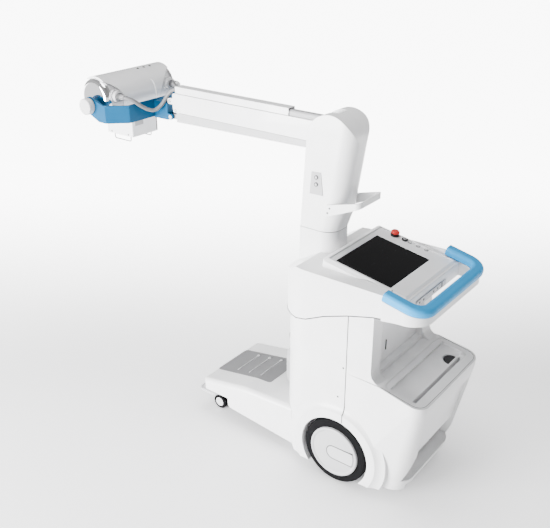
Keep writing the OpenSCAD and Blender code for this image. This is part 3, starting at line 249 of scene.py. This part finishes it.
# Chassis frame, axle and power pack
# Welded steel rails under the covers carry the axle, the casters and the batteries.
# They are powder coated black, and the axle's stubs are bare turned steel.
frame_coat = moulded("frame_coat", (0.05, 0.05, 0.055), 0.55, grain=0.0006, relief=0.1)
turned_steel = moulded("turned_steel", (0.62, 0.62, 0.63), 0.28, grain=0.0004, relief=0.05, edge=0.001)
turned_steel.node_tree.nodes["Principled BSDF"].inputs["Metallic"].default_value = 1.0
for node in ("chassis_frame", "power_pack"):
    finish_node(node, frame_coat)
finish_node("rear_axle", turned_steel)

# Drive wheels
# Solid black rubber tyres on light grey moulded hubs. The hub's cap is a shallow dome in a
# rolled rim, with a long tongue that runs from its middle out to the rim.
AXLE_Z, HUB_R, TONGUE_HALF = 160, 122, 33
HUB_PROFILE = [(0, -66), (HUB_R, -66), (HUB_R, -8), (121, -4), (118.5, -1.6), (115, -0.8), (111, -1.6), (108, -4.5),
               (106, -5.4), (102, -5), (88, -2.9), (66, -1.4), (36, -0.9), (0, -0.8)]


def turned(name, profile, centre, axis, sides=32):
    """A turned piece: steps of (radius, height) in millimetres along the axis from its centre."""
    blank = bmesh.new()
    loops = []
    for radius, height in profile:
        steps = sides if radius else 1
        loops.append([blank.verts.new((radius * cos(2 * pi * k / sides) / 1000,
                                       radius * sin(2 * pi * k / sides) / 1000, height / 1000))
                      for k in range(steps)])
    for low, high in zip(loops, loops[1:]):
        for k in range(sides):
            corners = [low[k % len(low)], low[(k + 1) % len(low)], high[(k + 1) % len(high)], high[k % len(high)]]
            corners = list(dict.fromkeys(corners))
            if len(corners) > 2:
                blank.faces.new(corners)
    bmesh.ops.remove_doubles(blank, verts=blank.verts, dist=1e-6)
    bmesh.ops.recalc_face_normals(blank, faces=blank.faces)
    blank.transform(Matrix.Translation(centre) @ Vector(axis).to_track_quat("Z", "Y").to_matrix().to_4x4())
    mesh = bpy.data.meshes.new(name)
    blank.to_mesh(mesh)
    blank.free()
    for face in mesh.polygons:
        face.use_smooth = True
    mesh.set_sharp_from_angle(angle=radians(32))
    return mesh


def slab(name, outline, thickness, holder, ease=0.0):
    """A flat piece with the given outline in its holder's XY plane, in millimetres, its face eased inward."""
    blank = bmesh.new()
    middle = [sum(axis) / len(outline) for axis in zip(*outline)]
    reach = max(abs(x - middle[0]) + abs(y - middle[1]) for x, y in outline)
    loops = []
    for shrink, height in ((0, 0), (0, thickness - ease), (ease / reach, thickness)) if ease else ((0, 0), (0, thickness)):
        loops.append([blank.verts.new(((x + (middle[0] - x) * shrink) / 1000, (y + (middle[1] - y) * shrink) / 1000,
                                       height / 1000)) for x, y in outline])
    for low, high in zip(loops, loops[1:]):
        for k in range(len(low)):
            nxt = (k + 1) % len(low)
            blank.faces.new((low[k], low[nxt], high[nxt], high[k]))
    blank.faces.new(loops[-1])
    blank.faces.new(list(reversed(loops[0])))
    bmesh.ops.recalc_face_normals(blank, faces=blank.faces)
    blank.transform(holder)
    mesh = bpy.data.meshes.new(name)
    blank.to_mesh(mesh)
    blank.free()
    return mesh


tyre_rubber = moulded("tyre_rubber", (0.004, 0.004, 0.0045), 0.75, grain=0.0015, relief=0.2, edge=0.003, shine=0.06)
hub_plastic = moulded("hub_plastic", (0.58, 0.58, 0.59), 0.4, edge=0.003)
hub_face = moulded("hub_face", (0.44, 0.44, 0.45), 0.4, edge=0.003)
tongue_plastic = moulded("tongue_plastic", (0.52, 0.52, 0.53), 0.4, edge=0.004)
groove_painted_shade = moulded("groove_painted_shade", (0.07, 0.07, 0.072), 0.6, edge=0.0004, shine=0.2)
for side, sign in (("left", 1), ("right", -1)):
    finish_node("rear_tyre_" + side, tyre_rubber)
    hub_low, hub_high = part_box("rear_hub_" + side)
    face_y = (hub_high.y if sign > 0 else -hub_low.y) * 1000
    centre = place(0, sign * face_y, AXLE_Z)
    hub = new_piece("wheel_hub_" + side, turned("hub", HUB_PROFILE, centre, (0, sign, 0), 96), hub_face,
                    "rear_wheel_" + side)
    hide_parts("rear_hub_" + side)
    turn_out = Matrix(((-1, 0, 0, 0), (0, 0, sign, 0), (0, 1, 0, 0), (0, 0, 0, 1)))
    rim_x = (105 ** 2 - TONGUE_HALF ** 2) ** 0.5
    tongue = [(-TONGUE_HALF * sin(pi * k / 16), TONGUE_HALF * cos(pi * k / 16)) for k in range(17)]
    tongue += [(rim_x, -TONGUE_HALF), (104, -16), (105, 0), (104, 16), (rim_x, TONGUE_HALF)]
    pad = slab("tongue", tongue, 6.4, Matrix.Translation(centre) @ turn_out
               @ Matrix.Translation((0, 0, -0.0066)), 1.6)
    new_piece("hub_tongue_" + side, pad, tongue_plastic, "rear_wheel_" + side)
    # Painted shade: a near-black line laid around the tongue's edge, where the crease around it falls into shade.
    edge_path = [centre + turn_out.to_3x3() @ Vector((x / 1000, y / 1000, -0.0016))
                 for x, y in [(rim_x, TONGUE_HALF + 0.6)] + [(1.02 * x, 1.02 * y) for x, y in tongue[:17]]
                 + [(rim_x, -TONGUE_HALF - 0.6)]]
    new_piece("hub_groove_" + side, swept("groove", edge_path, 0.0026, 2), groove_painted_shade, "rear_wheel_" + side)

# Casters
# Twin wheels of black rubber on a moulded fork that swivels under the bumper plate. A domed
# cap covers the axle's end on both outer sides.
CASTER_X, CASTER_Y, CASTER_R, CASTER_HALF = 774, 145, 38, 25
fork_plastic = moulded("fork_plastic", (0.20, 0.20, 0.21), 0.5)
for side, sign in (("left", 1), ("right", -1)):
    finish_node("caster_fork_" + side, fork_plastic)
    finish_node("caster_wheel_" + side, tyre_rubber)
    for face, out in (("outer", 1), ("inner", -1)):
        middle = place(CASTER_X, sign * CASTER_Y + sign * out * (CASTER_HALF - 2), CASTER_R)
        cap = turned("caster_cap", [(0, 0), (24, 0), (24, 2.4), (21, 3), (16, 2.4), (9, 3.4), (0, 3.8)], middle,
                     (0, sign * out, 0))
        new_piece("caster_cap_%s_%s" % (side, face), cap, hub_plastic, "caster_%s_wheels" % side)

# Front deck with its mat and bumper plate
# A white moulded cover over the front rails, a grey rubber mat with three moulded ribs to lay
# things against, each with a round end, and a grey plate that runs around under the nose.
cover_white = moulded("cover_white", (0.82, 0.82, 0.825), 0.33, edge=0.004, coat=0.15)
mat_rubber = moulded("mat_rubber", (0.19, 0.19, 0.195), 0.7, grain=0.001, relief=0.25, shine=0.3)
rib_rubber = moulded("rib_rubber", (0.52, 0.52, 0.53), 0.55, grain=0.001, relief=0.1)
plate_grey = moulded("plate_grey", (0.50, 0.50, 0.51), 0.45)
finish_node("deck", cover_white)
finish_node("deck_mat", mat_rubber)
finish_node("bumper_plate", plate_grey)
DECK_CREST = (560, 240)
DECK_DROP = 50 / 276
RIB_LEFT_Y, RIB_RIGHT_Y, RIB_END_R = 86, -84, 8


def plate(name, width, depth, corner, thickness, holder, ease=0.6):
    """A plate with rounded corners and an eased face, in the XY plane of its holder, in millimetres."""
    blank = bmesh.new()
    loops = []
    for inset, height in ((0, 0), (0, thickness - ease), (ease, thickness)):
        loop = []
        for quarter in range(4):
            x = (width / 2 - corner) * (1 if quarter in (0, 3) else -1)
            y = (depth / 2 - corner) * (1 if quarter < 2 else -1)
            for step in range(6):
                turn = pi / 2 * (quarter + step / 5)
                loop.append(blank.verts.new(((x + (corner - inset) * cos(turn)) / 1000,
                                             (y + (corner - inset) * sin(turn)) / 1000, height / 1000)))
        loops.append(loop)
    for low, high in zip(loops, loops[1:]):
        for k in range(len(low)):
            nxt = (k + 1) % len(low)
            blank.faces.new((low[k], low[nxt], high[nxt], high[k]))
    blank.faces.new(loops[-1])
    blank.faces.new(list(reversed(loops[0])))
    blank.transform(holder)
    mesh = bpy.data.meshes.new(name)
    blank.to_mesh(mesh)
    blank.free()
    return mesh


mat_lean = Matrix.Rotation(atan2(DECK_DROP, 1), 4, "Y")
for k, x in enumerate((566, 641, 716)):
    z = DECK_CREST[1] - (x - DECK_CREST[0]) * DECK_DROP + 0.6
    middle = place(x, (RIB_LEFT_Y + RIB_RIGHT_Y) / 2, z)
    rib = plate("rib", 5, RIB_LEFT_Y - RIB_RIGHT_Y, 2.4, 3.2, Matrix.Translation(middle) @ mat_lean, ease=1.4)
    new_piece("mat_rib_%d" % (k + 1), rib, rib_rubber, "base")
    knob = turned("rib_end", [(0, 0), (RIB_END_R, 0), (RIB_END_R, 2.4), (6.6, 3.8), (4, 4.4), (0, 4.6)],
                  place(x, RIB_RIGHT_Y, z), mat_lean @ Vector((0, 0, 1)))
    new_piece("mat_rib_end_%d" % (k + 1), knob, rib_rubber, "base")

# Cabinet
# Two white moulded halves that meet in a seam over the drive wheel. The rear half holds the
# sloping detector bin, whose grey tray sits in a dark seal; screws hold the covers' sides.
for node in ("cabinet_front", "cabinet_rear", "shoulder", "column"):
    finish_node(node, cover_white)
tray_grey = moulded("tray_grey", (0.86, 0.86, 0.87), 0.45)
finish_node("bin_tray", tray_grey)
cowl_grey = moulded("cowl_grey", (0.36, 0.36, 0.37), 0.5)
finish_node("vent_cowl", cowl_grey)
peg_black = moulded("peg_black", (0.008, 0.008, 0.009), 0.4, shine=0.3)
finish_node("cowl_peg", peg_black)
# Black for the real black parts, also used for painted shadow lines laid in gaps and holes.
black_parts_and_painted_shadow = moulded("black_parts_and_painted_shadow", (0.03, 0.03, 0.032), 0.6, edge=0.0004, shine=0.2)
screw_steel = moulded("screw_steel", (0.10, 0.10, 0.105), 0.4, edge=0.0003, shine=0.3)
SCREW_HEAD = [(0, -1), (4.5, -1), (4.5, 0.8), (3.8, 1.4), (1.8, 1.4), (1.8, 0.3), (0, 0.3)]
CABINET_SIDE_Y = 262
for k, (x, z) in enumerate(((-22, 604), (0, 449))):
    for side, sign in (("left", 1), ("right", -1)):
        head = turned("screw", SCREW_HEAD, place(x, sign * CABINET_SIDE_Y, z), (0, sign, 0), 20)
        new_piece("cover_screw_%s_%d" % (side, k + 1), head, screw_steel, "base")
# Painted shadow lines: dark strips laid in the seam over the wheel and under the shoulder's edge, where the gaps fall
# into shade
SEAM_X, SEAM_GAP, WALL_X, SHOULDER_Y, SHOULDER_FRONT_X, CORNER_R = -37, 2, -156, 275, 356, 185
for side, sign in (("left", 1), ("right", -1)):
    seam = [(261, 862), (261, 420), (262.4, 403), (267, 390), (273, 380.6), (279, 373), (279, 336)]
    seam = [place(SEAM_X + SEAM_GAP / 2, sign * y, z) for y, z in seam]
    new_piece("seam_painted_shadow_" + side, swept("seal_and_shadow_line", seam, 0.0024, 2, straight=True), black_parts_and_painted_shadow, "base")
    edge_y = SHOULDER_Y - 0.4
    run = [(-262, edge_y, 915), (WALL_X, edge_y, 899), (SEAM_X, edge_y, 866), (80, edge_y, 824), (168, edge_y, 781.5)]
    centre_x, centre_y = SHOULDER_FRONT_X - CORNER_R, SHOULDER_Y - CORNER_R
    run += [(centre_x + (CORNER_R - 0.4) * sin(pi / 2 * k / 10), centre_y + (CORNER_R - 0.4) * cos(pi / 2 * k / 10),
             781.5 - 15.5 * min(1, k / 2)) for k in range(1, 11)]
    run += [(SHOULDER_FRONT_X - 0.4, 0, 766)]
    run = [place(x, sign * y, z + SEAM_GAP) for x, y, z in run]
    new_piece("shoulder_painted_shadow_" + side, swept("seal_and_shadow_line", run, 0.0026, 2, straight=True), black_parts_and_painted_shadow, "base")
# Painted shadow line: a dark strip in the joint between the column and the mast
column_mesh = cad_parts["column"].data
SWIVEL_Z = 1108
rim_points = [Vector((v.co.x, v.co.y)) for v in column_mesh.vertices if abs(v.co.z - SWIVEL_Z / 1000) < 0.0004]
rim_points = [rim_points[k] for k in geometry.convex_hull_2d(rim_points)]
rim_middle = sum(rim_points, Vector((0, 0))) / len(rim_points)
joint = [(rim_middle + (point - rim_middle) * 1.004) * 1000 for point in rim_points]
new_piece("swivel_painted_shadow", slab("joint", [tuple(point) for point in joint], SEAM_GAP - 0.3,
                              Matrix.Translation((0, 0, (SWIVEL_Z + 0.15) / 1000))), black_parts_and_painted_shadow, "base")
# Finger hole in front of the slot: a black half disc at its floor is painted shade in the hole
NOTCH_X, NOTCH_Y, NOTCH_R, TRAY_DEPTH = -328, -160, 39, 17
notch = [(NOTCH_R * cos(pi * k / 20 - pi / 2), NOTCH_R * sin(pi * k / 20 - pi / 2)) for k in range(21)]
notch_z = 546 + (NOTCH_X + 410) * tan(radians(10.4)) - TRAY_DEPTH
notch_plane = Matrix.Translation(place(NOTCH_X + 0.5, NOTCH_Y, notch_z)) @ Matrix.Rotation(-radians(10.4), 4, "Y")
new_piece("finger_hole_painted_shade", slab("hole", notch, 1.0, notch_plane), black_parts_and_painted_shadow, "base")
# Catch in the recess under the desk
catch_turn = Vector((-1, 0, 0)).to_track_quat("Z", "Y").to_matrix().to_4x4()
catch = plate("catch", 6, 50, 2.5, 2.5, Matrix.Translation(place(-127, 95, 680)) @ catch_turn)
new_piece("recess_catch", catch, black_parts_and_painted_shadow, "base")
# Seal around the bin's tray
BIN_REAR_X, BIN_REAR_Z, BIN_SLOPE = -410, 546, radians(10.4)
SEAL_INSET, SEAL_CORNER = 12, 46
tray_low, tray_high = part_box("bin_tray")
seal_half = tray_high.y * 1000
seal_front = (tray_high.x - AXLE_X) * 1000 - BIN_REAR_X
bin_plane = Matrix.Translation(place(BIN_REAR_X, 0, BIN_REAR_Z)) @ Matrix.Rotation(-BIN_SLOPE, 4, "Y")
seal_path = []
for sign in (1, -1):
    corner_y = sign * (seal_half - SEAL_CORNER)
    arc = [(SEAL_INSET + SEAL_CORNER * (1 - sin(pi / 2 * step / 6)),
            corner_y + sign * SEAL_CORNER * cos(pi / 2 * step / 6)) for step in range(7)]
    arc = [(seal_front / cos(BIN_SLOPE) - 4, sign * seal_half)] + arc
    seal_path += arc if sign == 1 else list(reversed(arc))
seal_and_shadow_line = swept("seal_and_shadow_line", [bin_plane @ Vector((x / 1000, y / 1000, 0.0002)) for x, y in seal_path], 0.0009, 3)
new_piece("bin_seal", seal_and_shadow_line, black_parts_and_painted_shadow, "base")
# Fins that part the slot at its right end
SLOT_X = 63
for k, y in enumerate((-214, -226)):
    fin = plate("fin", 20, 2.5, 1.1, 30, bin_plane @ Matrix.Translation((SLOT_X / 1000, y / 1000, -0.031)), 0.5)
    new_piece("slot_fin_%d" % (k + 1), fin, tray_grey, "base")

# Push handle
# A blue moulded grip around the rear of the shoulder.
grip_blue = moulded("grip_blue", (0.012, 0.29, 0.62), 0.36, edge=0.010, shine=0.15)
finish_node("push_handle", grip_blue)

# Desk with its screen and controls
# A light grey housing with a glossy black screen. Along its right side are a red emergency stop,
# a key switch with a steel barrel, three lamps in dark rings, and sockets in its rear face.
desk_grey = moulded("desk_grey", (0.84, 0.84, 0.85), 0.36, edge=0.006)
screen_glass = moulded("screen_glass", (0.002, 0.002, 0.0025), 0.14, relief=0.0, edge=0.0005, shine=0.08)
stop_red = moulded("stop_red", (0.62, 0.02, 0.015), 0.25, edge=0.002)
panel_grey = moulded("panel_grey", (0.36, 0.36, 0.37), 0.5)
finish_node("desk", desk_grey)
finish_node("screen", screen_glass)
finish_node("stop_button", stop_red)
finish_node("stop_collar", peg_black)
finish_node("key_switch", peg_black)
finish_node("desk_lamps", hub_plastic)
finish_node("port_panel", panel_grey)
DESK_X, DESK_Z, DESK_SLOPE = -38, 1018, radians(9.9)
CONTROLS_Y, KEY_U, LAMP_PITCH = -231, 27, 42
desk_plane = Matrix.Translation(place(DESK_X, 0, DESK_Z)) @ Matrix.Rotation(-DESK_SLOPE, 4, "Y")
desk_up = desk_plane.to_3x3() @ Vector((0, 0, 1))


def on_desk(u, y, h):
    return desk_plane @ Vector((u / 1000, y / 1000, h / 1000))


barrel = turned("barrel", [(0, -1), (9.5, -1), (9.5, 2), (8.6, 2.8), (0, 2.8)], on_desk(KEY_U, CONTROLS_Y, 8), desk_up)
new_piece("key_barrel", barrel, turned_steel, "base")
keyway = plate("keyway", 2.2, 9, 1, 0.5, Matrix.Translation(on_desk(KEY_U, CONTROLS_Y, 10.6))
               @ desk_plane.to_3x3().to_4x4(), 0.2)
new_piece("key_way", keyway, black_parts_and_painted_shadow, "base")
for k in range(3):
    ring = turned("lamp_ring", [(7.2, -1), (9.6, -1), (9.6, 0.9), (8.8, 1.4), (7.2, 1.4), (7.2, -1)],
                  on_desk(-LAMP_PITCH * k, CONTROLS_Y, 0), desk_up)
    new_piece("lamp_ring_%d" % (k + 1), ring, black_parts_and_painted_shadow, "base")
PORT_WALL_X, PORT_Z = -272.8, 936
facing_rear = Vector((-1, 0, 0)).to_track_quat("Z", "Y").to_matrix().to_4x4()
port_plate = plate("port_plate", 262, 30, 3, 1.0, Matrix.Translation(place(PORT_WALL_X, 4, PORT_Z)) @ facing_rear)
new_piece("port_plate", port_plate, plate_grey, "base")
for k, (y, width, depth) in enumerate(((108, 9, 9), (73, 9, 9), (34, 12, 9), (-14, 9, 9), (-51, 9, 9), (-89, 9, 24))):
    insert = plate("insert", width, depth, 1.5, 0.8, Matrix.Translation(place(PORT_WALL_X - 0.9, y, PORT_Z))
                   @ facing_rear, 0.3)
    new_piece("port_insert_%d" % (k + 1), insert, hub_plastic if k == 2 else black_parts_and_painted_shadow, "base")

# Mast
# Two white clamshell halves that turn on the column, with a grab strap held by two screws on
# each side and a grey keypad plate with two round keys.
finish_node("mast_socket", turned_steel)
finish_node("mast_pins", turned_steel)
for side in ("left", "right"):
    finish_node("mast_shell_" + side, cover_white)
finish_node("keypad_plate", panel_grey)
finish_node("keypad_buttons", peg_black)
finish_node("grab_strap", cover_white)
STRAP_SIDE_Y, KEY_FACE_Y = 93, 90
for k, (x, z) in enumerate(((184, 1229), (194, 1206))):
    for side, sign in (("left", 1), ("right", -1)):
        head = turned("screw", SCREW_HEAD, place(x, sign * STRAP_SIDE_Y, z), (0, sign, 0), 20)
        new_piece("strap_screw_%s_%d" % (side, k + 1), head, screw_steel, "mast")
for k, z in enumerate((1350, 1319)):
    key = turned("key", [(0, -1), (5.4, -1), (5.4, 0.4), (4.6, 1), (0, 1.3)], place(258, KEY_FACE_Y, z), (0, 1, 0))
    new_piece("keypad_key_%d" % (k + 1), key, plate_grey, "mast")

# Arm
# White painted beam and link of aluminium section, with a cable cover and a grey conduit. A
# round hole pierces the beam's side near its front end.
arm_paint = moulded("arm_paint", (0.82, 0.82, 0.83), 0.3, coat=0.2)
for node in ("arm_beam", "arm_cover"):
    finish_node(node, arm_paint)
# The link wears the same white paint as the beam; its mid grey is painted shade, as it sits recessed inside the beam.
link_paint_with_painted_shade = moulded("link_paint_with_painted_shade", (0.42, 0.42, 0.43), 0.4)
finish_node("arm_link", link_paint_with_painted_shade)
finish_node("arm_conduit", cowl_grey)
BEAM_SIDE_Y, COVER_SIDE_Y, BEAM_TOP_Z, BEAM_FOOT_Z = 28, 24, 1568, 1477
# Painted shadow lines: dark grey strips along the cover's joint with the beam and under the beam's lower edge.
painted_shadow_grey = moulded("painted_shadow_grey", (0.10, 0.10, 0.102), 0.6, edge=0.0004, shine=0.2)
for side, sign in (("left", 1), ("right", -1)):
    plug = turned("plug", [(0, -1), (6.5, -1), (6.5, 0.5), (5.5, 0.9), (4.5, -0.2), (0, -0.4)],
                  place(1118, sign * BEAM_SIDE_Y, 1487), (0, sign, 0))
    new_piece("beam_plug_" + side, plug, black_parts_and_painted_shadow, "arm")
    joint = [place(x, sign * (COVER_SIDE_Y + 0.3), BEAM_TOP_Z + 0.4) for x in (455, 1116)]
    new_piece("cover_painted_shadow_" + side, swept("seal_and_shadow_line", joint, 0.0012, 2, straight=True), painted_shadow_grey, "arm")
    edge = [place(x, sign * (BEAM_SIDE_Y - 0.2), BEAM_FOOT_Z + 0.6) for x in (320, 1096)]
    new_piece("beam_edge_painted_shadow_" + side, swept("edge_shadow_line", edge, 0.0010, 2, straight=True), painted_shadow_grey, "arm")

# Yoke
# A bent bar of blue painted metal with its bracket and two white clamp knobs. The knobs have a
# round cap in the middle.
yoke_blue = moulded("yoke_blue", (0.003, 0.075, 0.17), 0.4, shine=0.1)
finish_node("yoke", yoke_blue)
finish_node("yoke_knobs", hub_plastic)
finish_node("head_pins", turned_steel)
pin_low, pin_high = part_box("head_pins")
LOWER_PIN_Z, LOWER_PIN_Y = 1448, 23
for side, sign in (("left", 1), ("right", -1)):
    centre = Vector(((pin_low.x + pin_high.x) / 2, sign * LOWER_PIN_Y / 1000, LOWER_PIN_Z / 1000))
    bolt = turned("bolt", [(0, -1), (10, -1), (10, 1.4), (9, 2.2), (4, 2.2), (4, 0.6), (0, 0.6)], centre, (0, sign, 0))
    new_piece("bracket_bolt_" + side, bolt, hub_plastic, "carrier")
knob_low, knob_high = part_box("yoke_knobs")
for side, sign in (("left", 1), ("right", -1)):
    middle = Vector(((knob_low.x + knob_high.x) / 2, sign * (knob_high.y - 0.0006), (knob_low.z + knob_high.z) / 2))
    cap = turned("cap", [(0, 0), (22, 0), (21, 0.5), (19, 0.2), (18, 0.55), (0, 0.6)], middle, (0, sign, 0))
    new_piece("knob_cap_" + side, cap, plate_grey, "carrier")

# Tube head
# The tube housing between two polished domes, under a white hood with three dark plugs in its
# top. The cable sockets end in ribbed grey rubber boots.
polished = moulded("polished", (0.93, 0.93, 0.94), 0.06, relief=0.0, edge=0.001, shade=0.0)
polished.node_tree.nodes["Principled BSDF"].inputs["Metallic"].default_value = 1.0
finish_node("tube_body", hub_plastic)
finish_node("tube_hood", arm_paint)
finish_node("end_caps", polished)
finish_node("cable_sockets", hub_plastic)
TUBE_X, TUBE_Z, HOOD_R = 1456, 1538, 100
SOCKET_Y, SOCKET_Z, BOOT_START, BOOT_END = 176, 1550, 117, 149
crown = Vector((-sin(radians(12)), 0, cos(radians(12))))
for k, y in enumerate((-45, -86, -126)):
    plug = turned("hood_plug", [(0, -1.2), (7, -1.2), (7, 0.4), (5.6, 0.8), (4.2, 0.2), (0, 0)],
                  place(TUBE_X, y, TUBE_Z) + crown * HOOD_R / 1000, crown, 24)
    new_piece("hood_plug_%d" % (k + 1), plug, black_parts_and_painted_shadow, "tube")
for side, sign in (("left", 1), ("right", -1)):
    centre = place(TUBE_X, sign * SOCKET_Y, SOCKET_Z)
    boot = [(0, BOOT_START), (18.4, BOOT_START)]
    for k in range(5):
        radius = 18.4 - 1.1 * k
        height = BOOT_START + 1 + 6 * k
        boot += [(radius, height + 3.6), (radius - 2.0, height + 4.0), (radius - 2.2, height + 5.6)]
    boot += [(13, BOOT_END), (0, BOOT_END)]
    new_piece("cable_boot_" + side, turned("boot", boot, centre, (-1, 0, 0)), cable_rubber, "tube")
    for k, (radius, height) in enumerate(((33.2, 92), (28.2, 112))):
        band = [(radius - 3, height), (radius, height), (radius, height + 3.4), (radius - 0.8, height + 4.4),
                (radius - 3, height + 4.4), (radius - 3, height)]
        new_piece("socket_band_%s_%d" % (side, k + 1), turned("band", band, centre, (-1, 0, 0), 48),
                  plate_grey, "tube")

# Collimator
# A white box with a window in its rear face and two wire rails under it. Two screws hold the
# cover on each side, and a dark trim strip runs down the right rear edge.
finish_node("collimator", arm_paint)
finish_node("collimator_window", panel_grey)
rail_steel = moulded("rail_steel", (0.10, 0.10, 0.105), 0.35, relief=0.0, edge=0.0004)
finish_node("wire_rails", rail_steel)
COLL_SIDE_Y, COLL_REAR_X = 89, 1362.5
for k, x in enumerate((1394, 1514)):
    for side, sign in (("left", 1), ("right", -1)):
        head = turned("screw", SCREW_HEAD, place(x, sign * COLL_SIDE_Y, 1334), (0, sign, 0), 20)
        new_piece("collimator_screw_%s_%d" % (side, k + 1), head, screw_steel, "collimator_head")
strip = plate("strip", 6, 92, 1.5, 1.2, Matrix.Translation(place(COLL_REAR_X + 0.4, -79, 1378)) @ catch_turn, 0.4)
new_piece("collimator_trim", strip, black_parts_and_painted_shadow, "collimator_head")
